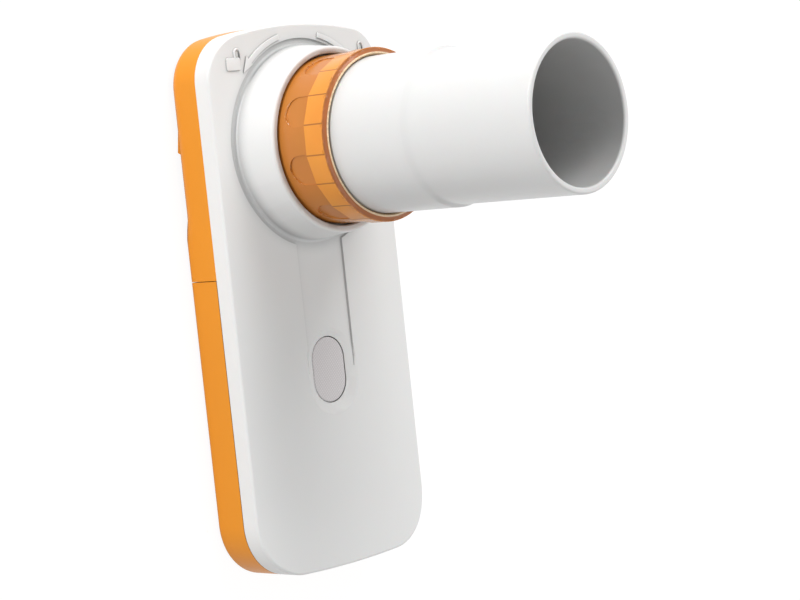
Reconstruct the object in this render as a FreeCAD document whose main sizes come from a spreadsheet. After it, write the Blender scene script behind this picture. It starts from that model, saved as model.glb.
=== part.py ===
import FreeCAD, Part
import math
import os
import re
import Sketcher

# Handheld peak flow meter with a removable turbine and a push-in mouthpiece.
# Millimetres. The device lies on its back: +Z runs out of the front along the mouthpiece,
# +Y runs to the turbine end and +X to the right as seen from the front.
# The origin lies on the back plane, under the middle of the casing.

SIZES = {
    # Casing outline
    "body_length": 109.0,
    "body_width": 49.0,
    "body_depth": 12.7,
    "split_height": 7.65,
    "side_wall": 1.3,
    "face_wall": 1.0,
    "top_corner": 9.5,
    "bottom_corner": 11.5,
    "top_crown": 3.2,
    "bottom_crown": 1.2,
    "front_round": 0.5,
    "rear_round": 1.0,
    # Mouthpiece
    "mouth_radius": 14.79,
    "mouth_wall": 1.34,
    "mouth_swell": 0.51,
    "mouth_length": 59.77,
    "mouth_insert": 29.7,
    "mouth_step": 1.1,
    "mouth_round": 0.5,
    "mouth_lead": 0.4,
    "mouth_lead_height": 0.8,
    "mouth_seat_gap": 0.1,
    # Turbine housing
    "bore_step": 0.05,
    "duct_wall": 1.5,
    "duct_end_gap": 0.3,
    "duct_edge": 0.3,
    "duct_lead": 0.5,
    "mouth_fit": 0.12,
    "head_wall": 1.18,
    "head_lift": 0.3,
    "floor_thick": 2.5,
    "band_rise": 9.1,
    "band_reach": 0.4,
    "band_height": 4.76,
    "facet_depth": 0.28,
    "facet_width": 8.0,
    "facet_stop": 0.4,
    "brim_height": 0.64,
    "brim_edge": 0.35,
    "facets": 18,
    "grips": 9,
    "grip_depth": 0.4,
    "grip_width": 6.1,
    "grip_rise": 3.5,
    "grip_turn": -1.0,
    "lugs": 3,
    "lug_reach": 1.4,
    "lug_thick": 2.1,
    "lug_gap": 0.2,
    "lug_angle": 24.0,
    # Bayonet ring behind the collar's lip
    "bayonet_gap": 0.2,
    "bayonet_side_gap": 0.3,
    "bayonet_wall": 1.0,
    "bayonet_thick": 2.0,
    "bayonet_edge": 0.4,
    "lip_gap": 0.04,
    "notch_room": 4.0,
    "notch_skin": 0.1,
    "stop_angle": 4.0,
    "stop_drop": 2.3,
    "stop_gap": 0.15,
    "stop_root": 0.3,
    "twist_angle": 90.0,
    # Collar
    "turbine_drop": 23.8,
    "collar_height": 21.04,
    "collar_lip": 2.5,
    "collar_wall": 0.8,
    "collar_taper": 0.9,
    "collar_foot": 0.7,
    "recess_reach": 1.5,
    "collar_round": 0.7,
    "collar_edge": 0.23,
    "head_gap": 0.4,
    "ring_gap": 0.1,
    # Channel, dish and power button
    "channel_width": 13.2,
    "channel_depth": 0.4,
    "dish_length": 18.6,
    "dish_width": 14.4,
    "dish_depth": 1.1,
    "button_length": 13.2,
    "button_width": 9.1,
    "button_gap": 0.15,
    "button_thick": 1.0,
    "button_neck": 0.1,
    "button_flange": 0.85,
    "flange_thick": 0.6,
    "button_round": 0.3,
    "button_rim": 1.6,
    "button_travel": 0.3,
    # Back of the casing
    "rear_step": 0.8,
    "rear_wall": 1.1,
    "ramp_gap": 4.2,
    "ramp_length": 8.2,
    "outlet_step": 0.7,
    "outlet_wall": 3.2,
    "outlet_edge": 0.4,
    "spigot_height": 1.7,
    "spigot_gap": 0.1,
    "ridge_offset": 0.1,
    "ridge_run": 4.7,
    "ridge_length": 4.0,
    "ridge_inset": 0.6,
    "ridge_lead": 0.5,
    "ridge_height": 0.7,
    "ridge_root": 0.2,
    # Battery door
    "seam_drop": 25.0,
    "seam_gap": 0.15,
    "door_wall": 1.0,
    "tongue_width": 11.0,
    "tongue_reach": 2.8,
    "tongue_thick": 0.95,
    "tongue_gap": 0.25,
    "tongue_root": 2.0,
    "hook_start": 12.0,
    "hook_end_gap": 5.1,
    "hook_reach": 1.8,
    "hook_thick": 1.2,
    "hook_length": 8.0,
    "hook_gap": 0.25,
    "weld": 0.2,
    "groove_drop": 9.0,
    "groove_pitch": 2.0,
    "groove_length": 16.0,
    "groove_width": 0.9,
    "groove_depth": 0.35,
    # Cells, their tray, contacts and springs
    "cell_headroom": 0.15,
    "cell_lift": 0.25,
    "cell_nub": 1.9,
    "cell_nub_length": 0.8,
    "bay_drop": 3.7,
    "bay_clearance": 0.3,
    "tray_wall": 0.95,
    "tray_gap": 0.2,
    "tray_lift": 0.3,
    "tray_end_gap": 4.15,
    "tray_end_lift": 3.5,
    "tray_ear": 4.4,
    "tray_ear_end": 2.1,
    "web_gap": 1.0,
    "rail_height": 3.0,
    "rail_thick": 1.2,
    "rail_gap": 0.6,
    "contact_thick": 0.3,
    "contact_size": 8.4,
    "spring_length": 6.3,
    "spring_wire": 0.3,
    "spring_turns": 3.5,
    "spring_runs": 10,
    "spring_radius": 3.4,
    "spring_tip": 2.0,
    # Circuit board and its parts
    "board_thick": 1.0,
    "board_width": 12.4,
    "board_gap": 0.4,
    "board_bore_gap": 0.5,
    "board_side_gap": 1.5,
    "board_top_gap": 0.8,
    "board_end_gap": 13.4,
    "lobe_margin": 0.1,
    "switch_size": 6.0,
    "switch_height": 3.5,
    "switch_room": 4.5,
    "plunger_radius": 1.7,
    "plunger_gap": 0.08,
    "plunger_depth": 0.8,
    "plunger_rise": 0.4,
    "plunger_floor_gap": 0.05,
    "radio_length": 12.0,
    "radio_width": 9.0,
    "radio_height": 1.6,
    "radio_margin": 1.5,
    "radio_board": 0.6,
    "radio_aerial": 3.5,
    "shield_margin": 0.6,
    "chip_size": 5.0,
    "chip_height": 0.9,
    "chip_drop": 28.5,
    "sensor_width": 3.0,
    "sensor_depth": 2.0,
    "sensor_height": 3.6,
    "sensor_angle": 12.0,
    "sensor_gap": 0.1,
    "sensor_lens": 0.75,
    "lens_height": 2.23,
    # Turbine socket
    "duct_gap": 0.3,
    "socket_wall": 1.0,
    "socket_edge": 0.4,
    "flange_reach": 1.1,
    "socket_flange_thick": 1.3,
    "ear_thick": 1.2,
    "ear_reach": 4.7,
    "ear_turn": 30.0,
    "boss_radius": 1.9,
    "window_lift": 1.0,
    "window_height": 2.4,
    "window_gap": 0.2,
    # Swirlers, rotor and bearings
    "blades": 6,
    "blade_thick": 0.9,
    "blade_twist": 38.0,
    "blade_gap": 0.05,
    "hub_radius": 2.4,
    "nose_radius": 1.44,
    "nose_length": 1.0,
    "nose_reach": 0.2,
    "rear_swirler_length": 3.6,
    "front_swirler_length": 6.6,
    "swirler_drop": 1.7,
    "bearing_radius": 1.2,
    "bearing_length": 1.6,
    "bearing_floor": 0.4,
    "axle_radius": 0.4,
    "axle_gap": 0.05,
    "axle_end_gap": 0.1,
    "vane_gap": 0.6,
    "vane_tip_gap": 0.6,
    "vane_thick": 0.35,
    "vane_hub": 0.9,
    # Fasteners
    "screw_radius": 0.95,
    "screw_point": 0.2,
    "screw_head": 1.85,
    "screw_head_height": 1.3,
    "screw_dome": 0.55,
    "screw_fit": 0.05,
    "well_gap": 0.15,
    "screw_well": 2.7,
    "point_room": 1.2,
    "point_gap": 0.3,
    "case_screw_angle": 43.84,
    "case_screw_side_gap": 4.3,
    "case_screw_seam_gap": 3.0,
    "case_boss_radius": 2.2,
    "case_boss_drop": 0.5,
    "post_gap": 0.1,
    "post_side_gap": 0.25,
    "post_radius": 2.45,
    "short_screw_length": 4.4,
    "tray_screw_reach": 3.4,
    "web_screw_reach": 5.9,
}

# Sizes and places that follow from the driving dimensions
DERIVED = {
    "half_width": "body_width / 2",
    "ceiling": "body_depth - face_wall",
    "turbine_y": "body_length / 2 - turbine_drop",
    "door_seam": "turbine_y - seam_drop",
    # Mouthpiece and turbine housing, outwards from the mouthpiece's bore
    "mouth_bore": "mouth_radius - mouth_wall",
    "mouth_fat_radius": "mouth_radius + mouth_swell",
    "mouth_fat_bore": "mouth_fat_radius - mouth_wall",
    "duct_bore": "mouth_bore + bore_step",
    "duct_outer": "duct_bore + duct_wall",
    "mouth_socket": "mouth_fat_radius + mouth_fit",
    "head_radius": "mouth_socket + head_wall",
    "band_radius": "head_radius + band_reach",
    "lug_radius": "duct_outer + lug_reach",
    "bayonet_bore": "duct_outer + bayonet_gap",
    "bayonet_inner": "lug_radius + bayonet_side_gap",
    "bayonet_outer": "bayonet_inner + bayonet_wall",
    "collar_bore": "head_radius + head_gap",
    "collar_tip": "bayonet_outer + collar_wall",
    "collar_base": "collar_tip + collar_taper",
    "recess_radius": "collar_base + recess_reach",
    "recess_floor": "body_depth - channel_depth",
    "throat_radius": "bayonet_outer + ring_gap",
    "socket_bore": "duct_outer + duct_gap",
    "socket_outer": "socket_bore + socket_wall",
    "socket_flange": "bayonet_outer + flange_reach",
    "ear_circle": "socket_outer + ear_reach",
    "outlet_bore": "duct_bore + outlet_step",
    "outlet_ring": "outlet_bore + outlet_wall",
    "vane_radius": "duct_bore - vane_tip_gap",
    # Heights of the turbine, downwards from the collar's lip and upwards from the back
    "lip_foot": "collar_height - collar_lip",
    "bayonet_top": "lip_foot - lip_gap",
    "bayonet_foot": "bayonet_top - bayonet_thick",
    "lug_top": "bayonet_foot - lug_gap",
    "lug_foot": "lug_top - lug_thick",
    "head_foot": "bayonet_top + head_lift",
    "mouth_floor": "head_foot + floor_thick",
    "mouth_foot": "mouth_floor + mouth_seat_gap",
    "mouth_fat_top": "mouth_foot + mouth_insert",
    "mouth_top": "mouth_foot + mouth_length",
    "band_foot": "head_foot + band_rise",
    "band_top": "band_foot + band_height",
    "brim_top": "band_top + brim_height",
    "grip_foot": "head_foot + grip_rise",
    "front_swirler_top": "mouth_floor - swirler_drop",
    "front_swirler_foot": "front_swirler_top - front_swirler_length",
    "rear_floor": "rear_step + rear_wall",
    "spigot_top": "rear_floor + spigot_height",
    "socket_foot": "spigot_top + spigot_gap",
    "duct_foot": "rear_floor + duct_end_gap",
    "rear_swirler_top": "duct_foot + rear_swirler_length",
    "rear_bearing_low": "rear_swirler_top - bearing_length",
    "vane_foot": "rear_swirler_top + vane_gap",
    "vane_top": "front_swirler_foot - vane_gap",
    # Back of the casing
    "ramp_start": "door_seam + ramp_gap",
    "ramp_end": "ramp_start + ramp_length",
    "ridge_low": "turbine_y + ridge_offset",
    "ridge_high": "ridge_low + ridge_run",
    # Cells and their tray
    "cell_radius": "(ceiling - cell_headroom - cell_lift - door_wall) / 2",
    "cell_z": "door_wall + cell_lift + cell_radius",
    "cell_x": "board_width / 2 + board_gap + tray_wall + bay_clearance + cell_radius",
    "bay_top": "door_seam - bay_drop",
    "bay_low": "tray_wall + tray_end_gap - body_length / 2",
    "bay_length": "bay_top - bay_low",
    "cell_length": "bay_length - 2 * contact_thick - spring_length",
    "tray_inner": "cell_x - cell_radius - bay_clearance",
    "tray_outer": "cell_x + cell_radius + bay_clearance",
    "tray_top": "ceiling - tray_gap",
    "rail_end": "bottom_corner - body_length / 2",
    "hook_foot": "rail_height + rail_thick + hook_gap",
    "hook_pitch": "(door_seam - hook_start - hook_length - bay_low - hook_end_gap) / 2",
    "tongue_foot": "rear_floor + tongue_gap",
    # Button, switch and circuit board, downwards from the dish
    "button_top": "body_depth - dish_depth",
    "button_foot": "button_top - button_thick",
    "flange_top": "button_foot - button_neck",
    "plunger_top": "flange_top - flange_thick",
    "switch_top": "plunger_top - plunger_rise",
    "board_top": "switch_top - switch_height",
    "board_foot": "board_top - board_thick",
    "ear_top": "board_top + ear_thick",
    "board_bore": "socket_outer + board_bore_gap",
    "board_radius": "min(turbine_drop - side_wall - board_top_gap; half_width - side_wall - board_side_gap)",
    "board_end": "bay_low + board_end_gap",
    "radio_foot": "board_end + radio_margin",
    "radio_end": "radio_foot + radio_length",
    "dish_y": "radio_end + switch_room + switch_size / 2",
    "chip_y": "turbine_y - chip_drop",
    # Fasteners
    "screw_bore": "screw_radius + screw_fit",
    "case_screw_circle": "board_radius + post_side_gap + post_radius",
    "case_screw_length": "ceiling - point_room - screw_well",
    "case_boss_foot": "split_height - case_boss_drop",
    "case_boss_top": "case_boss_foot - post_gap",
}

doc = FreeCAD.newDocument("PeakFlowMeter")
sheet = doc.addObject("Spreadsheet::Sheet", "Size")
probe = doc.addObject("App::FeaturePython", "Probe")
probe.addProperty("App::PropertyFloat", "Value")
PIECES = {}
WORD = re.compile(r"[a-z_]+")


def fill_sheet():
    """Write every driving dimension as a plain number beside its name."""
    for row, (name, value) in enumerate(SIZES.items(), start=1):
        sheet.set(f"A{row}", name)
        sheet.set(f"B{row}", str(value))
        sheet.setAlias(f"B{row}", name)
    doc.recompute()


def linked(text):
    """Write out the derived names in a text and point every dimension at its cell."""
    def swap(match):
        name = match.group(0)
        if name in DERIVED:
            return "(" + linked(DERIVED[name]) + ")"
        return "Size." + name if name in SIZES else name
    return WORD.sub(swap, text)


def number(text):
    """The present value of an expression in named dimensions."""
    probe.setExpression("Value", linked(text))
    probe.recompute()
    return probe.Value


def bind(thing, **expressions):
    """Bind properties of an object to expressions in named dimensions."""
    for name, text in expressions.items():
        thing.setExpression(name.replace("__", "."), linked(text))
    return thing


# Cutting shapes run this far past the faces that they open
PAST = 1
# A cut that takes less than this volume has missed
SMALLEST_CUT = 1e-6


def role(body, name):
    return next(f for f in body.Origin.OriginFeatures if f.Role == name)


def new_body(name, on_turbine_axis=False, turn=None):
    """A part design body, listed as a piece. Turbine parts have their origin on its axis."""
    body = doc.addObject("PartDesign::Body", name)
    body.Label = name
    PIECES[name] = body
    if on_turbine_axis:
        bind(body, Placement__Base__y="turbine_y")
    if turn:
        body.Placement.Rotation = FreeCAD.Rotation(FreeCAD.Vector(0, 0, 1), number(turn))
        bind(body, Placement__Rotation__Angle=turn)
    return body


def new_sketch(body, name, plane="XY_Plane", height="0", turn=None):
    sketch = body.newObject("Sketcher::SketchObject", name)
    sketch.AttachmentSupport = [(role(body, plane), "")]
    sketch.MapMode = "FlatFace"
    if turn:
        sketch.AttachmentOffset = FreeCAD.Placement(
            FreeCAD.Vector(), FreeCAD.Rotation(FreeCAD.Vector(0, 0, 1), number(turn)))
        bind(sketch, AttachmentOffset__Rotation__Angle=turn)
    bind(sketch, AttachmentOffset__Base__z=height)
    return sketch


def fix_point(sketch, geometry, end, x, y):
    """Hold one point of a sketch at a place given by two expressions."""
    for kind, text in (("DistanceX", x), ("DistanceY", y)):
        index = sketch.addConstraint(Sketcher.Constraint(kind, -1, 1, geometry, end, number(text)))
        sketch.setExpression(f"Constraints[{index}]", linked(text))


def arc_through(start, end, radius):
    """The short arc between two points, anticlockwise when the radius is positive."""
    chord = end - start
    side = FreeCAD.Vector(-chord.y, chord.x, 0).normalize()
    rise = math.sqrt(max(radius ** 2 - (chord.Length / 2) ** 2, 0))
    centre = (start + end) * 0.5 + side * math.copysign(rise, radius)
    first, last = (start, end) if radius > 0 else (end, start)
    angles = [math.atan2(p.y - centre.y, p.x - centre.x) for p in (first, last)]
    circle = Part.Circle(centre, FreeCAD.Vector(0, 0, 1), abs(radius))
    return Part.ArcOfCircle(circle, *angles)


def draw_outline(sketch, corners, arcs=None):
    """A closed outline through corners; arcs maps a corner's number to the radius after it."""
    arcs = arcs or {}
    points = [FreeCAD.Vector(number(x), number(y), 0) for x, y in corners]
    count = len(corners)
    for i, (x, y) in enumerate(corners):
        start, end = points[i], points[(i + 1) % count]
        if i in arcs:
            radius = number(arcs[i])
            index = sketch.addGeometry(arc_through(start, end, radius))
            start_end = (1, 2) if radius > 0 else (2, 1)
            limit = sketch.addConstraint(Sketcher.Constraint("Radius", index, abs(radius)))
            sketch.setExpression(f"Constraints[{limit}]", f"abs({linked(arcs[i])})")
        else:
            index = sketch.addGeometry(Part.LineSegment(start, end))
            start_end = (1, 2)
        fix_point(sketch, index, start_end[0], x, y)
        if i:
            sketch.addConstraint(Sketcher.Constraint("Coincident", last[0], last[1], index, start_end[0]))
        else:
            first = (index, start_end[0])
        last = (index, start_end[1])
    sketch.addConstraint(Sketcher.Constraint("Coincident", last[0], last[1], *first))


def draw_circle(sketch, x, y, radius):
    index = sketch.addGeometry(Part.Circle(
        FreeCAD.Vector(number(x), number(y), 0), FreeCAD.Vector(0, 0, 1), number(radius)))
    fix_point(sketch, index, 3, x, y)
    limit = sketch.addConstraint(Sketcher.Constraint("Radius", index, number(radius)))
    sketch.setExpression(f"Constraints[{limit}]", linked(radius))


def draw_rectangle(sketch, x_low, x_high, y_low, y_high):
    draw_outline(sketch, [(x_low, y_low), (x_high, y_low), (x_high, y_high), (x_low, y_high)])


def draw_stadium(sketch, y, length, width):
    """A slot shape with round ends, along Y and centred on x = 0."""
    half = f"({width}) / 2"
    low = f"{y} - ({length}) / 2 + {half}"
    high = f"{y} + ({length}) / 2 - {half}"
    corners = [(half, low), (half, high), ("0", f"{high} + {half}"), (f"-{half}", high),
               (f"-{half}", low), ("0", f"{low} - {half}")]
    draw_outline(sketch, corners, {1: half, 2: half, 4: half, 5: half})


def feature(body, kind, sketch, name, length, reverse=False):
    """Pad or pocket a sketch; the length is an expression."""
    item = body.newObject("PartDesign::" + kind, name)
    item.Profile = sketch
    item.Reversed = reverse
    bind(item, Length=length)
    doc.recompute()
    return item


def pad(body, sketch, name, length, reverse=False):
    return feature(body, "Pad", sketch, name, length, reverse)


def pocket(body, sketch, name, length, reverse=False):
    """Pocket a sketch and make sure that it took something away."""
    before = body.Shape.Volume
    item = feature(body, "Pocket", sketch, name, length, reverse)
    if body.Shape.Volume >= before - SMALLEST_CUT:
        raise RuntimeError(f"{name} cuts nothing")
    return item


def turned(body, sketch, name):
    """Revolve a sketch about its own vertical axis."""
    item = body.newObject("PartDesign::Revolution", name)
    item.Profile = sketch
    item.ReferenceAxis = (sketch, ["V_Axis"])
    item.Angle = 360
    doc.recompute()
    return item


def ring_pattern(body, features, name, count):
    """Repeat features round the body's own Z axis."""
    item = body.newObject("PartDesign::PolarPattern", name)
    item.Originals = features
    item.Axis = (role(body, "Z_Axis"), [""])
    item.Angle = 360
    bind(item, Occurrences=count)
    body.Tip = item
    doc.recompute()
    return item


def round_edges(body, base, name, radius, wanted):
    """Fillet the edges of a feature that a test on each edge picks."""
    picked = [f"Edge{i}" for i, edge in enumerate(base.Shape.Edges, start=1) if wanted(edge)]
    if not picked:
        raise RuntimeError(f"{name} finds no edge")
    item = body.newObject("PartDesign::Fillet", name)
    item.Base = (base, picked)
    bind(item, Radius=radius)
    doc.recompute()
    return item


def at_height(height):
    """A test for edges that lie flat at one height."""
    level = number(height)
    return lambda edge: max(abs(edge.BoundBox.ZMin - level), abs(edge.BoundBox.ZMax - level)) < 1e-4


def casing_end(inset, crown, corner):
    """Places on one end's outline: side height, tangent point of its corner arc, crown radius."""
    crown_radius = f"((half_width ^ 2 + {crown} ^ 2) / (2 * {crown}))"
    crown_centre = f"(body_length / 2 - {crown_radius})"
    corner_x = f"(half_width - {corner})"
    reach = f"({crown_radius} - {corner})"
    corner_rise = f"sqrt({reach} ^ 2 - {corner_x} ^ 2)"
    share = f"(({crown_radius} - {inset}) / {reach})"
    side = f"({crown_centre} + {corner_rise})"
    tangent = (f"({corner_x} * {share})", f"({crown_centre} + {corner_rise} * {share})")
    return side, tangent, f"({crown_radius} - {inset})"


def draw_casing(sketch, inset):
    """The casing's outline with round corners and crowned ends, moved inwards by a wall."""
    half = f"(half_width - {inset})"
    top, (top_x, top_y), top_radius = casing_end(inset, "top_crown", "top_corner")
    low, (low_x, low_y), low_radius = casing_end(inset, "bottom_crown", "bottom_corner")
    top_corner = f"top_corner - {inset}"
    low_corner = f"bottom_corner - {inset}"
    crest = f"(body_length / 2 - {inset})"
    draw_outline(sketch,
                 [(half, f"-{low}"), (half, top), (top_x, top_y), ("0", crest),
                  (f"-{top_x}", top_y), (f"-{half}", top), (f"-{half}", f"-{low}"),
                  (f"-{low_x}", f"-{low_y}"), ("0", f"-{crest}"), (low_x, f"-{low_y}")],
                 {1: top_corner, 2: top_radius, 3: top_radius, 4: top_corner,
                  6: low_corner, 7: low_radius, 8: low_radius, 9: low_corner})


def casing_block(body, name, low, high, inset="0", cut=False):
    """Pad or pocket the casing's outline between two heights."""
    sketch = new_sketch(body, name + "Outline", height=low)
    draw_casing(sketch, inset)
    tall = f"({high}) - ({low})"
    if cut:
        return pocket(body, sketch, name, tall, reverse=True)
    return pad(body, sketch, name, tall)


def mirrored_places(places):
    """Each place and, where it is off the centre line, its twin on the other side."""
    result = []
    for x, y in places:
        result.append((x, y))
        if x != "0":
            result.append((f"-({x})", y))
    return result


CASE_SCREWS = mirrored_places([
    ("case_screw_circle * cos(case_screw_angle * 1 deg)",
     "turbine_y + case_screw_circle * sin(case_screw_angle * 1 deg)"),
    ("half_width - case_screw_side_gap", "door_seam + case_screw_seam_gap")])
TRAY_SCREWS = mirrored_places([("cell_x", "bay_top + tray_screw_reach"), ("0", "bay_low + web_screw_reach")])
EAR_ANGLES = ["ear_turn", "ear_turn + 120", "ear_turn + 240"]
EAR_PLACES = [(f"ear_circle * cos(({a}) * 1 deg)", f"ear_circle * sin(({a}) * 1 deg)") for a in EAR_ANGLES]
EAR_SCREWS = [(x, f"turbine_y + {y}") for x, y in EAR_PLACES]


def front_cover():
    """White front shell with the collar, the shallow channel and the button's dish."""
    body = new_body("front_cover")
    block = casing_block(body, "Shell", "split_height", "body_depth")
    round_edges(body, block, "FrontRound", "front_round", at_height("body_depth"))
    casing_block(body, "Hollow", "split_height", "ceiling", "side_wall", cut=True)

    recess = new_sketch(body, "RecessCircle", height="recess_floor")
    draw_circle(recess, "0", "turbine_y", "recess_radius")
    pocket(body, recess, "Recess", f"channel_depth + {PAST}", reverse=True)
    channel = new_sketch(body, "ChannelOutline", height="recess_floor")
    draw_rectangle(channel, "-channel_width / 2", "channel_width / 2", "dish_y", "turbine_y - collar_base")
    pocket(body, channel, "Channel", f"channel_depth + {PAST}", reverse=True)

    collar = new_sketch(body, "CollarProfile", "XZ_Plane", "-turbine_y")
    draw_outline(collar, [
        ("throat_radius", "ceiling"), ("collar_base + collar_foot", "ceiling"),
        ("collar_base + collar_foot", "recess_floor"),
        ("collar_base", "recess_floor + collar_foot"),
        ("collar_tip", "collar_height - collar_round"),
        ("collar_tip - collar_round", "collar_height"),
        ("collar_bore + collar_edge", "collar_height"),
        ("collar_bore", "collar_height - collar_edge"),
        ("collar_bore", "lip_foot"), ("throat_radius", "lip_foot")],
        {2: "-collar_foot", 4: "collar_round"})
    turned(body, collar, "Collar")
    throat = new_sketch(body, "ThroatCircle", height="ceiling")
    draw_circle(throat, "0", "turbine_y", "throat_radius")
    pocket(body, throat, "Throat", "lip_foot - ceiling", reverse=True)

    rim = new_sketch(body, "RimOutline", height="button_foot")
    draw_stadium(rim, "dish_y", "button_length + 2 * button_gap + 2 * button_rim",
                 "button_width + 2 * button_gap + 2 * button_rim")
    pad(body, rim, "ButtonRim", "ceiling - button_foot")
    cut_dish(body)
    for index, (x, y) in enumerate(CASE_SCREWS):
        boss(body, f"CaseBoss{index}", x, y, "case_boss_foot", "case_boss_radius",
             "screw_well + case_screw_length + point_gap")
    for index, (x, y) in enumerate(EAR_SCREWS + TRAY_SCREWS):
        boss(body, f"InnerBoss{index}", x, y, "ear_top", "boss_radius",
             "board_top + short_screw_length + point_gap")
    return body


def boss(body, name, x, y, low, radius, bore_top):
    """A screw boss hanging from the ceiling, open at its low end."""
    outer = new_sketch(body, name + "Disc", height=low)
    draw_circle(outer, x, y, radius)
    pad(body, outer, name, f"ceiling - {low}")
    inner = new_sketch(body, name + "Hole", height=low)
    draw_circle(inner, x, y, "screw_bore")
    pocket(body, inner, name + "Bore", f"{bore_top} - {low}", reverse=True)


def draw_button(sketch, margin):
    """The button's outline, larger by a margin all round."""
    draw_stadium(sketch, "dish_y", f"button_length + 2 * {margin}", f"button_width + 2 * {margin}")


def cut_dish(body):
    """The oval dish slopes down to the button's opening."""
    upper = new_sketch(body, "DishTop", height="body_depth")
    draw_stadium(upper, "dish_y", "dish_length", "dish_width")
    lower = new_sketch(body, "DishFloor", height="button_top")
    draw_button(lower, "button_gap")
    before = body.Shape.Volume
    slope = body.newObject("PartDesign::SubtractiveLoft", "Dish")
    slope.Profile = upper
    slope.Sections = [lower]
    doc.recompute()
    if body.Shape.Volume >= before - SMALLEST_CUT:
        raise RuntimeError("Dish cuts nothing")
    opening = new_sketch(body, "ButtonOpening", height="button_top")
    draw_button(opening, "button_gap")
    pocket(body, opening, "ButtonHole", "button_thick + face_wall")


def cut_at_seam(body, low, high):
    """Take away a shell on one side of the door's seam."""
    side = new_sketch(body, "SeamCut", height=f"-{PAST}")
    draw_rectangle(side, f"-half_width - {PAST}", f"half_width + {PAST}", low, high)
    pocket(body, side, "Seam", f"split_height + 2 * {PAST}", reverse=True)


def rear_cover():
    """Orange rear shell of the turbine end, stepped at the back, with the air outlet."""
    body = new_body("rear_cover")
    block = casing_block(body, "Shell", "0", "split_height")
    round_edges(body, block, "RearRound", "rear_round", at_height("0"))
    casing_block(body, "Hollow", "rear_floor", "split_height", "side_wall", cut=True)
    step = new_sketch(body, "StepProfile", "YZ_Plane", f"-half_width - {PAST}")
    draw_outline(step, [("ramp_start", f"-{PAST}"), ("ramp_start", "0"), ("ramp_end", "rear_step"),
                        ("body_length", "rear_step"), ("body_length", f"-{PAST}")])
    pocket(body, step, "RearStep", f"body_width + 2 * {PAST}", reverse=True)
    cut_at_seam(body, "-body_length", "door_seam + seam_gap")

    ring = new_sketch(body, "OutletProfile", "XZ_Plane", "-turbine_y")
    draw_outline(ring, [
        ("outlet_bore", "outlet_edge"), ("outlet_bore + outlet_edge", "0"),
        ("outlet_ring - outlet_edge", "0"), ("outlet_ring", "outlet_edge"),
        ("outlet_ring", "rear_floor"), ("socket_outer", "rear_floor"), ("socket_outer", "spigot_top"),
        ("socket_bore", "spigot_top"), ("socket_bore", "rear_floor"), ("outlet_bore", "rear_floor")])
    turned(body, ring, "OutletRing")
    hole = new_sketch(body, "OutletCircle", height=f"-{PAST}")
    draw_circle(hole, "0", "turbine_y", "outlet_bore")
    pocket(body, hole, "Outlet", f"rear_floor + {PAST}", reverse=True)

    for side, low in (("Left", "-half_width + ridge_inset"),
                      ("Right", "half_width - ridge_inset - ridge_length")):
        ridge = new_sketch(body, f"RidgeProfile{side}", "YZ_Plane", low)
        draw_outline(ridge, [("ridge_low", "rear_step + ridge_root"),
                             ("ridge_low + ridge_lead", "rear_step - ridge_height"),
                             ("ridge_high", "rear_step"), ("ridge_high", "rear_step + ridge_root")])
        pad(body, ridge, f"Ridge{side}", "ridge_length")
    for index, (x, y) in enumerate(CASE_SCREWS):
        post = new_sketch(body, f"PostDisc{index}", height="rear_step")
        draw_circle(post, x, y, "post_radius")
        pad(body, post, f"Post{index}", "case_boss_top - rear_step")
        well = new_sketch(body, f"WellCircle{index}", height=f"-{PAST}")
        draw_circle(well, x, y, "screw_head + well_gap")
        pocket(body, well, f"Well{index}", f"screw_well + {PAST}", reverse=True)
        bore = new_sketch(body, f"PostBore{index}", height="0")
        draw_circle(bore, x, y, "screw_bore")
        pocket(body, bore, f"PostHole{index}", "split_height", reverse=True)
    return body


def battery_cover():
    """Orange battery door: floor, low side walls, hooks that grip the rails and a tongue."""
    body = new_body("battery_cover")
    block = casing_block(body, "Shell", "0", "split_height - seam_gap")
    round_edges(body, block, "RearRound", "rear_round", at_height("0"))
    casing_block(body, "Hollow", "door_wall", "split_height", "side_wall", cut=True)
    cut_at_seam(body, "door_seam", "body_length")

    lift = new_sketch(body, "TongueStep", height="door_wall - weld")
    draw_rectangle(lift, "-tongue_width / 2", "tongue_width / 2", "door_seam - tongue_root",
                   "door_seam - weld")
    pad(body, lift, "TongueRoot", "tongue_foot + tongue_thick - door_wall + weld")
    tongue = new_sketch(body, "TongueOutline", height="tongue_foot")
    draw_rectangle(tongue, "-tongue_width / 2", "tongue_width / 2", "door_seam - 2 * weld",
                   "door_seam + tongue_reach")
    pad(body, tongue, "Tongue", "tongue_thick")

    wall = "half_width - side_wall"
    for side, low, high in (("Left", f"-({wall} + weld)", f"-({wall} - hook_reach)"),
                            ("Right", f"{wall} - hook_reach", f"{wall} + weld")):
        for index in range(3):
            top = f"door_seam - hook_start - {index} * hook_pitch"
            sketch = new_sketch(body, f"Hook{side}Outline{index}", height="hook_foot")
            draw_rectangle(sketch, low, high, f"{top} - hook_length", top)
            pad(body, sketch, f"Hook{side}{index}", "hook_thick")
    groove_grip(body)
    return body


def groove_grip(body):
    """Three shallow thumb grooves across the door, where it is pushed open."""
    for index in range(3):
        sketch = new_sketch(body, f"GripLine{index}", height="0")
        y = f"door_seam - groove_drop - {index} * groove_pitch"
        draw_rectangle(sketch, "-groove_length / 2", "groove_length / 2", f"{y} - groove_width / 2",
                       f"{y} + groove_width / 2")
        pocket(body, sketch, f"Grip{index}", "groove_depth", reverse=True)


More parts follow.
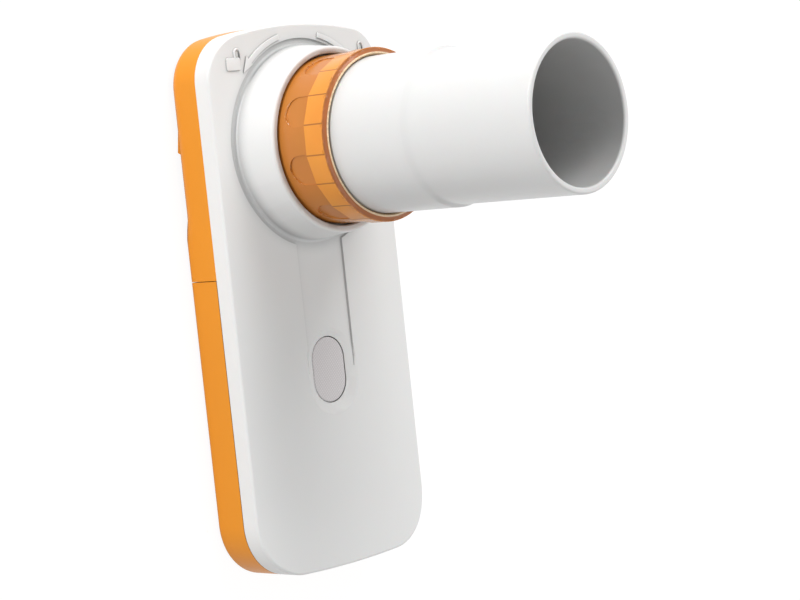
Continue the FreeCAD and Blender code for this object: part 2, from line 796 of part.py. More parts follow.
def power_button():
    """Oval cap with a flange that stops it under the cover."""
    body = new_body("power_button")
    cap = new_sketch(body, "CapOutline", height="flange_top")
    draw_button(cap, "0")
    block = pad(body, cap, "Cap", "button_thick + button_neck")
    round_edges(body, block, "CapRound", "button_round", at_height("button_top"))
    flange = new_sketch(body, "FlangeOutline", height="plunger_top")
    draw_button(flange, "button_flange")
    pad(body, flange, "Flange", "flange_thick")
    return body


def cylinder(name, radius, height, x="0", y="0", z="0"):
    item = doc.addObject("Part::Cylinder", name)
    bind(item, Radius=radius, Height=height, Placement__Base__x=x, Placement__Base__y=y,
         Placement__Base__z=z)
    return item


def cone(name, low_radius, high_radius, height, x, y, z):
    item = doc.addObject("Part::Cone", name)
    bind(item, Radius1=low_radius, Radius2=high_radius, Height=height, Placement__Base__x=x,
         Placement__Base__y=y, Placement__Base__z=z)
    return item


def box(name, x, y, z):
    """A block between pairs of expressions along X, Y and Z."""
    item = doc.addObject("Part::Box", name)
    bind(item, Length=f"({x[1]}) - ({x[0]})", Width=f"({y[1]}) - ({y[0]})",
         Height=f"({z[1]}) - ({z[0]})", Placement__Base__x=x[0], Placement__Base__y=y[0],
         Placement__Base__z=z[0])
    return item


def fused(name, shapes):
    item = doc.addObject("Part::MultiFuse", name)
    item.Shapes = shapes
    item.Refine = True
    return item


def cut(name, base, tool):
    item = doc.addObject("Part::Cut", name)
    item.Base = base
    item.Tool = tool
    item.Refine = True
    return item


def piece(name, item):
    item.Label = name
    PIECES[name] = item
    return item


def group(name, members):
    """Like pieces that share one node, each a solid of its own."""
    item = doc.addObject("Part::Compound", name)
    item.Links = members
    return piece(name, item)


def lying_cylinder(name, radius, length, x, y, z):
    """A cylinder along +Y that starts at y."""
    item = cylinder(name, radius, length, x, y, z)
    item.Placement.Rotation = FreeCAD.Rotation(FreeCAD.Vector(1, 0, 0), -90)
    return item


def battery(name, x, jacket_low, nub_low):
    """One cell: jacket and raised positive end."""
    jacket = lying_cylinder(name + "Jacket", "cell_radius", "cell_length - cell_nub_length", x,
                            jacket_low, "cell_z")
    nub = lying_cylinder(name + "Nub", "cell_nub", "cell_nub_length", x, nub_low, "cell_z")
    return piece(name, fused(name, [jacket, nub]))


def batteries():
    """Two cells, head to tail."""
    left_low = "bay_top - contact_thick - cell_length"
    right_low = "bay_low + contact_thick"
    battery("battery_left", "-cell_x", left_low, f"{left_low} + cell_length - cell_nub_length")
    battery("battery_right", "cell_x", f"{right_low} + cell_nub_length", right_low)


def battery_contacts():
    """A flat plate at each end of each cell."""
    plates = []
    half = "contact_size / 2"
    for side, x in (("Left", "-cell_x"), ("Right", "cell_x")):
        for end, low in (("Low", "bay_low"), ("High", "bay_top - contact_thick")):
            plates.append(box(f"Contact{side}{end}", (f"{x} - {half}", f"{x} + {half}"),
                              (low, f"{low} + contact_thick"), (f"cell_z - {half}", f"cell_z + {half}")))
    return group("battery_contacts", plates)


def coil():
    """A conical coil of straight runs along +Z with a six-sided wire, wide end at z = 0."""
    wire, length = number("spring_wire"), number("spring_length")
    wide, tip = number("spring_radius"), number("spring_tip")
    runs = number("spring_runs")
    count = int(number("spring_turns") * runs)
    points = []
    for i in range(count + 1):
        radius = wide + (tip - wide) * i / count
        angle = 2 * math.pi * i / runs
        points.append(FreeCAD.Vector(radius * math.cos(angle), radius * math.sin(angle),
                                     wire + (length - 2 * wire) * i / count))
    facing = FreeCAD.Rotation(FreeCAD.Vector(0, 0, 1), points[1] - points[0])
    rim = []
    for k in range(7):
        corner = FreeCAD.Vector(wire * math.cos(math.pi * k / 3), wire * math.sin(math.pi * k / 3), 0)
        rim.append(points[0] + facing.multVec(corner))
    section = Part.Wire(Part.makePolygon(rim).Edges)
    return Part.Wire(Part.makePolygon(points).Edges).makePipeShell([section], True, False, 1)


def battery_springs():
    """A conical coil presses on the flat end of each cell."""
    coils = []
    for name, x, y, angle in (("CoilLeft", "-cell_x", "bay_low + contact_thick", -90),
                              ("CoilRight", "cell_x", "bay_top - contact_thick", 90)):
        item = doc.addObject("Part::Feature", name)
        item.Shape = coil()
        item.Placement = FreeCAD.Placement(FreeCAD.Vector(number(x), number(y), number("cell_z")),
                                           FreeCAD.Rotation(FreeCAD.Vector(1, 0, 0), angle))
        coils.append(item)
    return group("battery_springs", coils)


def battery_tray():
    """Open frame round the two cells, with rails for the door and ears for its screws."""
    low, high = "bay_low - tray_wall", "bay_top + tray_wall"
    parts = [box("TrayWeb", ("-tray_inner", "tray_inner"), (low, "board_end - web_gap"),
                 ("board_top", "ear_top"))]
    for name, sign in (("Left", -1), ("Right", 1)):
        def across(near, far):
            """Two distances from the middle, in the order of rising X."""
            return [f"{sign} * ({end})" for end in (near, far)[::sign]]
        side_walls = (across("tray_inner - tray_wall", "tray_inner"),
                      across("tray_outer", "tray_outer + tray_wall"))
        for index, x in enumerate(side_walls):
            parts.append(box(f"TraySide{name}{index}", x, (low, high), ("door_wall + tray_lift", "tray_top")))
        for index, y in enumerate((low, "bay_top")):
            parts.append(box(f"TrayEnd{name}{index}", across("tray_inner", "tray_outer"),
                             (y, f"{y} + tray_wall"), ("tray_end_lift", "tray_top")))
        parts.append(box(f"Rail{name}", across("tray_outer", "half_width - side_wall - rail_gap"),
                         ("rail_end", high), ("rail_height", "rail_height + rail_thick")))
        parts.append(box(f"Ear{name}", across("cell_x - tray_ear / 2", "cell_x + tray_ear / 2"),
                         ("bay_top", "bay_top + tray_screw_reach + tray_ear_end"), ("board_top", "ear_top")))
    holes = [cylinder(f"TrayHole{i}", "screw_bore", f"ear_thick + 2 * {PAST}", x, y, f"board_top - {PAST}")
             for i, (x, y) in enumerate(TRAY_SCREWS)]
    return piece("battery_tray", cut("battery_tray", fused("TrayFrame", parts), fused("TrayHoles", holes)))


def circuit_board():
    """Board with a ring round the turbine socket and a tongue between the cells."""
    plate = [cylinder("BoardDisc", "board_radius", "board_thick", "0", "turbine_y", "board_foot"),
             box("BoardStrip", ("-board_width / 2", "board_width / 2"), ("board_end", "turbine_y"),
                 ("board_foot", "board_top"))]
    holes = [cylinder("BoardBore", "board_bore", f"board_thick + 2 * {PAST}", "0", "turbine_y",
                      f"board_foot - {PAST}")]
    for index, (x, y) in enumerate(EAR_SCREWS):
        plate.append(cylinder(f"BoardLobe{index}", "boss_radius + lobe_margin", "board_thick", x, y,
                              "board_foot"))
        holes.append(cylinder(f"BoardHole{index}", "screw_bore", f"board_thick + 2 * {PAST}", x, y,
                              f"board_foot - {PAST}"))
    return piece("circuit_board", cut("circuit_board", fused("BoardPlate", plate), fused("BoardHoles", holes)))


def tact_switch():
    """Square switch body, and the plunger that works in its hole."""
    half = "switch_size / 2"
    block = box("SwitchBlock", (f"-{half}", half), (f"dish_y - {half}", f"dish_y + {half}"),
                ("board_top", "switch_top"))
    depth = "plunger_depth + button_travel + plunger_floor_gap"
    well = cylinder("SwitchWell", "plunger_radius + plunger_gap", f"{depth} + {PAST}", "0", "dish_y",
                    f"switch_top - ({depth})")
    piece("tact_switch", cut("tact_switch", block, well))
    piece("switch_plunger", cylinder("switch_plunger", "plunger_radius", "plunger_rise + plunger_depth",
                                     "0", "dish_y", "switch_top - plunger_depth"))


def board_parts():
    """Radio module with its shield can, and the controller chip beside it."""
    half = "radio_width / 2"
    carrier = box("RadioCarrier", (f"-{half}", half), ("radio_foot", "radio_end"),
                  ("board_top", "board_top + radio_board"))
    shield = box("RadioShield", (f"-{half} + shield_margin", f"{half} - shield_margin"),
                 ("radio_foot + radio_aerial", "radio_end - shield_margin"),
                 ("board_top + radio_board", "board_top + radio_height"))
    piece("radio_module", fused("radio_module", [carrier, shield]))
    half = "chip_size / 2"
    piece("microcontroller", box("microcontroller", (f"-{half}", half), (f"chip_y - {half}", f"chip_y + {half}"),
                                 ("board_top", "board_top + chip_height")))


def infrared_sensor(name, angle):
    """Side-looking package with a lens that faces the turbine through the socket's window."""
    radius = "(socket_outer + sensor_gap)"
    block = box(name + "Block", (radius, f"{radius} + sensor_depth"),
                ("-sensor_width / 2", "sensor_width / 2"), ("board_top", "board_top + sensor_height"))
    lens = doc.addObject("Part::Sphere", name + "Lens")
    bind(lens, Radius="sensor_lens", Placement__Base__x=radius, Placement__Base__z="board_top + lens_height")
    package = fused(name, [block, lens])
    package.Placement.Rotation = FreeCAD.Rotation(FreeCAD.Vector(0, 0, 1), number(angle))
    bind(package, Placement__Rotation__Angle=angle, Placement__Base__y="turbine_y")
    return package


EMITTER_ANGLES = ["180 - sensor_angle", "180 + sensor_angle"]
RECEIVER_ANGLES = ["-sensor_angle", "sensor_angle"]


def infrared_pairs():
    """Two emitters on one side of the turbine look at two receivers on the other."""
    group("infrared_emitters", [infrared_sensor(f"Emitter{i}", angle) for i, angle in enumerate(EMITTER_ANGLES)])
    group("infrared_receivers", [infrared_sensor(f"Receiver{i}", angle)
                                 for i, angle in enumerate(RECEIVER_ANGLES)])


def turbine_socket():
    """White tube that guides the turbine, with ears, a flange and four sensor windows."""
    body = new_body("turbine_socket", on_turbine_axis=True)
    profile = new_sketch(body, "TubeProfile", "XZ_Plane")
    draw_outline(profile, [
        ("socket_bore", "socket_foot"), ("socket_outer", "socket_foot"),
        ("socket_outer", "ceiling - socket_flange_thick"),
        ("socket_flange", "ceiling - socket_flange_thick"), ("socket_flange", "ceiling"),
        ("socket_bore + socket_edge", "ceiling"), ("socket_bore", "ceiling - socket_edge")])
    turned(body, profile, "Tube")
    ear = new_sketch(body, "EarOutline", height="board_top", turn="ear_turn")
    draw_outline(ear, [("socket_bore + socket_edge", "-boss_radius"), ("ear_circle", "-boss_radius"),
                       ("ear_circle + boss_radius", "0"), ("ear_circle", "boss_radius"),
                       ("socket_bore + socket_edge", "boss_radius")], {1: "boss_radius", 2: "boss_radius"})
    ears = pad(body, ear, "Ear", "ear_thick")
    ring_pattern(body, [ears], "Ears", "3")
    for index, (x, y) in enumerate(EAR_PLACES):
        hole = new_sketch(body, f"EarCircle{index}", height=f"board_top - {PAST}")
        draw_circle(hole, x, y, "screw_bore")
        pocket(body, hole, f"EarHole{index}", f"ear_thick + 2 * {PAST}", reverse=True)
    for index, angle in enumerate(EMITTER_ANGLES + RECEIVER_ANGLES):
        window = new_sketch(body, f"WindowOutline{index}", height="board_top + window_lift", turn=angle)
        draw_rectangle(window, f"socket_bore - {PAST}", f"socket_outer + {PAST}",
                       "-sensor_lens - window_gap", "sensor_lens + window_gap")
        pocket(body, window, f"Window{index}", "window_height", reverse=True)
    return body


def sector(sketch, inner, outer, angle):
    """A ring sector centred on the sketch's +X axis."""
    half = f"(({angle}) / 2 * 1 deg)"
    near, far = f"({inner})", f"({outer})"
    draw_outline(sketch, [
        (f"{near} * cos({half})", f"-{near} * sin({half})"),
        (f"{far} * cos({half})", f"-{far} * sin({half})"),
        (f"{far} * cos({half})", f"{far} * sin({half})"),
        (f"{near} * cos({half})", f"{near} * sin({half})")],
        {1: far, 3: f"-{near}"})


def bayonet_ring():
    """Ring behind the collar's lip: three notches let the lugs in, three stops end the turn."""
    body = new_body("bayonet_ring", on_turbine_axis=True)
    profile = new_sketch(body, "RingProfile", "XZ_Plane")
    draw_outline(profile, [
        ("bayonet_inner", "ceiling"), ("bayonet_outer", "ceiling"), ("bayonet_outer", "bayonet_top"),
        ("bayonet_bore + bayonet_edge", "bayonet_top"), ("bayonet_bore", "bayonet_top - bayonet_edge"),
        ("bayonet_bore", "bayonet_foot"), ("bayonet_inner", "bayonet_foot")])
    turned(body, profile, "Ring")
    notch = new_sketch(body, "NotchOutline", height=f"bayonet_foot - {PAST}", turn="grip_turn + twist_angle")
    sector(notch, f"bayonet_bore - {PAST}", "bayonet_inner - notch_skin", "lug_angle + notch_room")
    cut_notch = pocket(body, notch, "Notch", f"bayonet_thick + 2 * {PAST}", reverse=True)
    ring_pattern(body, [cut_notch], "Notches", "lugs")
    stop = new_sketch(body, "StopOutline", height="bayonet_foot + stop_root",
                      turn="grip_turn + (twist_angle + 360 / lugs) / 2")
    sector(stop, "bayonet_bore + stop_gap", "bayonet_inner + stop_root", "stop_angle")
    tab = pad(body, stop, "Stop", "stop_drop + stop_root", reverse=True)
    ring_pattern(body, [tab], "Stops", "lugs")
    return body


def turbine_housing():
    """Amber duct and grip head in one moulding, turned into its locked place."""
    body = new_body("turbine_housing", on_turbine_axis=True, turn="grip_turn")
    profile = new_sketch(body, "HousingProfile", "XZ_Plane")
    draw_outline(profile, [
        ("duct_bore", "duct_foot"), ("duct_outer - duct_edge", "duct_foot"),
        ("duct_outer", "duct_foot + duct_lead"), ("duct_outer", "head_foot"),
        ("head_radius - duct_edge", "head_foot"), ("head_radius", "head_foot + duct_edge"),
        ("head_radius", "band_foot"), ("band_radius", "band_foot"), ("band_radius", "band_top"),
        ("mouth_socket + brim_edge", "brim_top"), ("mouth_socket", "brim_top - brim_edge"),
        ("mouth_socket", "mouth_floor"), ("duct_bore", "mouth_floor")])
    turned(body, profile, "Housing")

    flat = new_sketch(body, "FacetOutline", "YZ_Plane", "band_radius - facet_depth")
    draw_rectangle(flat, "-facet_width / 2", "facet_width / 2", "band_foot", "band_top - facet_stop")
    facet = pocket(body, flat, "Facet", f"facet_depth + {PAST}", reverse=True)
    ring_pattern(body, [facet], "Facets", "facets")

    grip = new_sketch(body, "GripOutline", "YZ_Plane", "head_radius - grip_depth")
    half = "grip_width / 2"
    draw_outline(grip, [("0", "grip_foot"), (half, f"grip_foot + {half}"), (half, "band_foot"),
                        (f"-{half}", "band_foot"), (f"-{half}", f"grip_foot + {half}")],
                 {0: half, 4: half})
    scoop = pocket(body, grip, "Grip", f"grip_depth + {PAST}", reverse=True)
    ring_pattern(body, [scoop], "Grips", "grips")

    lug = new_sketch(body, "LugOutline", height="lug_foot")
    sector(lug, "duct_outer - duct_edge", "lug_radius", "lug_angle")
    tab = pad(body, lug, "Lug", "lug_thick")
    ring_pattern(body, [tab], "Lugs", "lugs")
    return body


def swirler(name, low, high, twist, bearing_low, hub_profile):
    """Hub with twisted blades that set the air spinning; its bearing sits in the rotor's side."""
    body = new_body(name, on_turbine_axis=True, turn="grip_turn")
    half = "blade_thick / 2"
    sections = []
    for height, angle in ((low, "0"), (high, twist)):
        sketch = new_sketch(body, "BladeSection", height=height, turn=angle)
        draw_rectangle(sketch, "hub_radius / 2", "duct_bore - blade_gap", f"-{half}", half)
        sections.append(sketch)
    blade = body.newObject("PartDesign::AdditiveLoft", "Blade")
    blade.Profile = sections[0]
    blade.Sections = sections[1:]
    doc.recompute()
    ring_pattern(body, [blade], "Blades", "blades")
    hub = new_sketch(body, "HubProfile", "XZ_Plane")
    draw_outline(hub, hub_profile)
    turned(body, hub, "Hub")
    seat = new_sketch(body, "BearingSeat", height=bearing_low)
    draw_circle(seat, "0", "0", "bearing_radius")
    pocket(body, seat, "Seat", "bearing_length", reverse=True)
    return body


def swirlers():
    """The rear swirler's nose looks out of the back, the front one's into the mouthpiece."""
    low, high = "duct_foot", "rear_swirler_top"
    swirler("rear_swirler", low, high, "blade_twist", "rear_bearing_low",
            [("0", f"{low} - nose_reach"), ("nose_radius", f"{low} - nose_reach"),
             ("hub_radius", f"{low} + nose_length - nose_reach"), ("hub_radius", high), ("0", high)])
    low, high = "front_swirler_foot", "front_swirler_top"
    swirler("front_swirler", low, high, "-blade_twist", low,
            [("0", low), ("hub_radius", low), ("hub_radius", f"{high} - nose_length - nose_reach"),
             ("nose_radius", f"{high} + nose_reach"), ("0", f"{high} + nose_reach")])


def bearing(name, low, well_low, well_length):
    """Cup bearing pressed into a hub; the axle's end stands in its blind hole."""
    cup = cylinder(name + "Cup", "bearing_radius", "bearing_length", "0", "turbine_y", low)
    well = cylinder(name + "Well", "axle_radius + axle_gap", well_length, "0", "turbine_y", well_low)
    return piece(name, cut(name, cup, well))


def rotor():
    """Flat vane on a fine steel axle, between two cup bearings."""
    well_length = f"bearing_length - bearing_floor + {PAST}"
    bearing("rear_bearing", "rear_bearing_low", "rear_bearing_low + bearing_floor", well_length)
    bearing("front_bearing", "front_swirler_foot", f"front_swirler_foot - {PAST}", well_length)
    axle_low = "rear_bearing_low + bearing_floor + axle_end_gap"
    axle_high = "front_swirler_foot + bearing_length - bearing_floor - axle_end_gap"
    piece("rotor_axle", cylinder("rotor_axle", "axle_radius", f"{axle_high} - ({axle_low})", "0", "turbine_y",
                                 axle_low))
    vane = box("VanePlate", ("-vane_radius", "vane_radius"),
               ("turbine_y - vane_thick / 2", "turbine_y + vane_thick / 2"), ("vane_foot", "vane_top"))
    hub = cylinder("VaneHub", "vane_hub", "vane_top - vane_foot", "0", "turbine_y", "vane_foot")
    bore = cylinder("VaneBore", "axle_radius", f"vane_top - vane_foot + 2 * {PAST}", "0", "turbine_y",
                    f"vane_foot - {PAST}")
    piece("rotor_vane", cut("rotor_vane", fused("VaneBody", [vane, hub]), bore))


def mouthpiece():
    """Push-in mouthpiece: a thicker stretch in the turbine, a small step and a rounded rim."""
    body = new_body("mouthpiece", on_turbine_axis=True)
    profile = new_sketch(body, "TubeProfile", "XZ_Plane")
    step_top = "mouth_fat_top + mouth_step"
    draw_outline(profile, [
        ("mouth_fat_bore", "mouth_foot"), ("mouth_fat_radius - mouth_lead", "mouth_foot"),
        ("mouth_fat_radius", "mouth_foot + mouth_lead_height"), ("mouth_fat_radius", "mouth_fat_top"),
        ("mouth_radius", step_top), ("mouth_radius", "mouth_top - mouth_round"),
        ("mouth_radius - mouth_round", "mouth_top"), ("mouth_bore + mouth_round", "mouth_top"),
        ("mouth_bore", "mouth_top - mouth_round"), ("mouth_bore", step_top),
        ("mouth_fat_bore", "mouth_fat_top")], {5: "mouth_round", 7: "mouth_round"})
    turned(body, profile, "Tube")
    return body


def screw(name, x, y, seat, length):
    """Self-tapping screw: pan head below its seat, shank and point above it."""
    shank = cylinder(name + "Shank", "screw_radius", f"{length} - screw_radius", x, y, seat)
    point = cone(name + "Point", "screw_radius", "screw_point", "screw_radius", x, y,
                 f"{seat} + {length} - screw_radius")
    head = cylinder(name + "Head", "screw_head", "screw_head_height - screw_dome", x, y,
                    f"{seat} - screw_head_height + screw_dome")
    dome = cone(name + "Dome", "screw_head - screw_dome", "screw_head", "screw_dome", x, y,
                f"{seat} - screw_head_height")
    return fused(name, [shank, point, head, dome])


def screws():
    """Three groups: case screws from the back, tray screws and socket screws inside."""
    for name, places, seat, length in (
            ("case_screws", CASE_SCREWS, "screw_well", "case_screw_length"),
            ("tray_screws", TRAY_SCREWS, "board_top", "short_screw_length"),
            ("socket_screws", EAR_SCREWS, "board_foot", "short_screw_length + board_thick")):
        group(name, [screw(f"{name}{i}", x, y, seat, length) for i, (x, y) in enumerate(places)])


def check_and_write():
    """Stop on any failed object or bad shape, then write one file for each piece."""
    doc.recompute()
    failed = [o.Name for o in doc.Objects if {"Invalid", "Error"} & set(o.State)]
    if failed:
        raise RuntimeError("failed objects: " + ", ".join(failed))
    for name, item in PIECES.items():
        shape = item.Shape
        if shape.isNull() or not shape.isValid() or not shape.Solids:
            raise RuntimeError(f"{name} has a bad shape")
        if item.TypeId == "PartDesign::Body" and len(shape.Solids) > 1:
            raise RuntimeError(f"{name} isn't one solid")
    os.makedirs("parts", exist_ok=True)
    for name, item in PIECES.items():
        item.Shape.exportStep(f"parts/{name}.step")
        reach = item.Shape.BoundBox
        print(f"{name:20s} solids {len(item.Shape.Solids)}  volume {item.Shape.Volume:9.1f}  "
              f"z {reach.ZMin:6.2f} to {reach.ZMax:6.2f}")


fill_sheet()
front_cover()
rear_cover()
battery_cover()
battery_tray()
batteries()
battery_contacts()
battery_springs()
circuit_board()
tact_switch()
board_parts()
infrared_pairs()
turbine_socket()
bayonet_ring()
power_button()
turbine_housing()
swirlers()
rotor()
mouthpiece()
screws()
check_and_write()
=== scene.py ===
import math

import bmesh
import bpy
from mathutils import Matrix, Vector, geometry


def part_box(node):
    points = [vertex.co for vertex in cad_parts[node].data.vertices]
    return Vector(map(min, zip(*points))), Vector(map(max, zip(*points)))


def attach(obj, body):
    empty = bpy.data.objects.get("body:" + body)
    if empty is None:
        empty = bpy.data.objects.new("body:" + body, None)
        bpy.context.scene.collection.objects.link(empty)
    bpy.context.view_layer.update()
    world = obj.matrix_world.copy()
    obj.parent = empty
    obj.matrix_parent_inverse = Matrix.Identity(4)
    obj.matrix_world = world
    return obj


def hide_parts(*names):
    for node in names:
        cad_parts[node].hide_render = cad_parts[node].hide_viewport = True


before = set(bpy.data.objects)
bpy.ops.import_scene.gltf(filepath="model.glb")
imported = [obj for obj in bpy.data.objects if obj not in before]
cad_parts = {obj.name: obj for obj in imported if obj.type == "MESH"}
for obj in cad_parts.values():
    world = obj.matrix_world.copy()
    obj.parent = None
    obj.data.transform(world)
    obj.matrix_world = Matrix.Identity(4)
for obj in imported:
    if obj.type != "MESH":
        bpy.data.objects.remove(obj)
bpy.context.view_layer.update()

bl_info = {
    "name": "Peak Flow Meter",
    "version": (1, 0, 0),
    "blender": (4, 5, 0),
    "location": "View3D > Sidebar > Peak Flow",
    "description": "Finishes and small details of a handheld peak flow meter",
    "category": "Object",
}

MM = 0.001
SEAM = 0.0005 * MM

TUBE_LOW, TUBE_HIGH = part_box("mouthpiece")
FRONT_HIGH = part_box("front_cover")[1]
HEAD_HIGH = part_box("turbine_housing")[1]
AXIS_Y = (TUBE_LOW.y + TUBE_HIGH.y) / 2
DISH_DEPTH = 1.1 * MM
FACE_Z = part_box("power_button")[1].z + DISH_DEPTH
BARREL_RADIUS = 16.6 * MM
FLOOR_GAP = 0.2 * MM

# The facet band of the grip head, measured down from the front of the brim
BAND_TOP_DROP = 0.62 * MM
BAND_FOOT_DROP = 5.4 * MM
FACET_ANGLE = math.radians(20)
FIRST_CORNER = math.radians(9)

# The rear shell's lower edge comes in beside the turbine, up to a height and from a place on
EASE_INSET = 0.6 * MM
EASE_TOP = 2.8 * MM
EASE_HEIGHT = 2.0 * MM
EASE_START = 13 * MM
EASE_LENGTH = 6 * MM
RIM_GAP = 0.03 * MM

# How far the lock signs reach below the face
SIGN_ROOT = 0.25 * MM

# Bare steel of a cell, from its axis
NUB_REACH = 2.6 * MM
END_REACH = 4.6 * MM


def linear(colour):
    """An sRGB hex colour as linear red, green, blue and alpha."""
    values = [int(colour[i:i + 2], 16) / 255 for i in (1, 3, 5)]
    return [v / 12.92 if v <= 0.04045 else ((v + 0.055) / 1.055) ** 2.4 for v in values] + [1.0]


def colour_setting(name, description, colour):
    return bpy.props.FloatVectorProperty(name=name, description=description, size=4, subtype="COLOR",
                                         min=0, max=1, default=linear(colour))


def length_setting(name, description, value):
    return bpy.props.FloatProperty(name=name, description=description, default=value * MM, min=0,
                                   precision=5, subtype="DISTANCE", unit="LENGTH")


class PeakFlowColours(bpy.types.PropertyGroup):
    white: colour_setting("White shell", "Front shell with the collar", "#E6E6E5")
    orange: colour_setting("Orange shell", "Rear shell and battery door", "#E69019")
    amber: colour_setting("Amber head", "Grip head of the turbine", "#DB8A3C")
    # Painted highlight: the band's lighter amber is a lit copy of the head's amber
    band: colour_setting("Amber band", "Faceted band, where the wall is thin", "#FFA63E")
    # Painted shade: the brim's brown is a shaded copy of the amber
    brim: colour_setting("Amber brim", "Front edge of the grip head", "#BC7240")
    tube: colour_setting("Mouthpiece", "Mouth tube", "#DFDFDE")
    pad: colour_setting("Power button", "Soft cap of the button", "#DFDBDC")
    jacket: colour_setting("Cell jacket", "Plain jacket of the cells", "#3E5566")
    mask: colour_setting("Board", "Solder mask of the circuit board", "#1E5B3A")


class PeakFlowSizes(bpy.types.PropertyGroup):
    edge_drop: length_setting("Edge drop", "How far the face rolls off at its side edges", 1.4)
    sign_height: length_setting("Sign height", "How far the lock signs stand proud of the face", 0.3)
    arrow_radius: length_setting("Arrow radius", "Middle of the arrows, from the turbine's axis", 21.95)
    arrow_width: length_setting("Arrow width", "Width of the curved arrows", 1.1)
    recess_depth: length_setting("Cross recess", "Depth of the cross in a screw's head", 0.75)


def colours():
    return bpy.context.scene.peak_flow_colours


def sizes():
    return bpy.context.scene.peak_flow_sizes


# Materials

def add_node(tree, kind, settings=None, links=None):
    """Add a node, set its inputs and properties, and link outputs of other nodes to its inputs.

    A number names an input by its place, and "stops" are a colour ramp's positions and colours.
    """
    node = tree.nodes.new("ShaderNode" + kind)
    for name, value in (settings or {}).items():
        if name == "stops":
            while len(node.color_ramp.elements) < len(value):
                node.color_ramp.elements.new(0.5)
            for element, (position, colour) in zip(node.color_ramp.elements, value):
                element.position, element.color = position, colour
        elif isinstance(name, int) or name in node.inputs:
            node.inputs[name].default_value = value
        else:
            setattr(node, name, value)
    for name, (other, output) in (links or {}).items():
        tree.links.new(other.outputs[output], node.inputs[name])
    return node


def tinted(colour, factor):
    return [min(v * factor, 1) for v in colour[:3]] + [1]


def surface(name, grain, relief, **sockets):
    """A named material with a grain of a real size in millimetres, and its shader's constant sockets."""
    material = bpy.data.materials.new(name)
    material.use_nodes = True
    tree = material.node_tree
    shader = tree.nodes["Principled BSDF"]
    for socket, value in sockets.items():
        shader.inputs[socket.replace("_", " ")].default_value = value
    place = add_node(tree, "TexCoord")
    grit = add_node(tree, "TexNoise", {"Scale": 1 / (grain * MM), "Detail": 2.0},
                    {"Vector": (place, "Object")})
    bump = add_node(tree, "Bump", {"Strength": 1.0, "Distance": relief * MM}, {"Height": (grit, "Fac")})
    tree.links.new(bump.outputs["Normal"], shader.inputs["Normal"])
    return material, tree, shader, place


def clouded(name, colour, grain, relief, shift=0.02, patch=18, **sockets):
    """The same with a base colour that drifts a little over patches of a size in millimetres."""
    material, tree, shader, place = surface(name, grain, relief, **sockets)
    cloud = add_node(tree, "TexNoise", {"Scale": 1 / (patch * MM), "Detail": 3.0},
                     {"Vector": (place, "Object")})
    darker, lighter = tinted(colour, 1 - shift), tinted(colour, 1 + shift)
    drift = add_node(tree, "ValToRGB", {"stops": [(0.3, darker), (0.7, lighter)]}, {"Fac": (cloud, "Fac")})
    tree.links.new(drift.outputs["Color"], shader.inputs["Base Color"])
    return material


def painted_corner_shade(material, reach, darkest):
    """Paint shade into inner corners within a reach in millimetres: ambient occlusion darkens the base
    colour.
    """
    tree = material.node_tree
    base = tree.nodes["Principled BSDF"].inputs["Base Color"]
    unshaded_colour = base.links[0].from_socket
    # Painted shade: where ambient occlusion finds a corner or recess, the base colour is multiplied darker
    corner = add_node(tree, "AmbientOcclusion", {"Distance": reach * MM, "samples": 8})
    painted_shade = add_node(tree, "ValToRGB", {"stops": [(0.45, [darkest] * 3 + [1]), (0.95, [1, 1, 1, 1])]},
                    {"Fac": (corner, "AO")})
    mixed = add_node(tree, "MixRGB", {"blend_type": "MULTIPLY", "Fac": 1.0}, {"Color2": (painted_shade, "Color")})
    tree.links.new(unshaded_colour, mixed.inputs["Color1"])
    tree.links.new(mixed.outputs["Color"], base)
    return material


def white_abs():
    """Moulded ABS from a finely spark-eroded tool: an even satin white, with painted shade greying its
    corners.
    """
    return painted_corner_shade(clouded("white_moulded_abs", colours().white, 0.25, 0.003, 0.008, Roughness=0.42,
                                  IOR=1.53, Subsurface_Weight=0.05, Subsurface_Scale=0.5 * MM), 3.5, 0.5)


def orange_abs():
    """Moulded ABS in a warm orange, a little glossier than the front, with painted shade browning its
    corners.
    """
    return painted_corner_shade(clouded("orange_moulded_abs", colours().orange, 0.3, 0.004, 0.015, Roughness=0.38,
                                  IOR=1.53, Specular_IOR_Level=0.3), 2.0, 0.7)


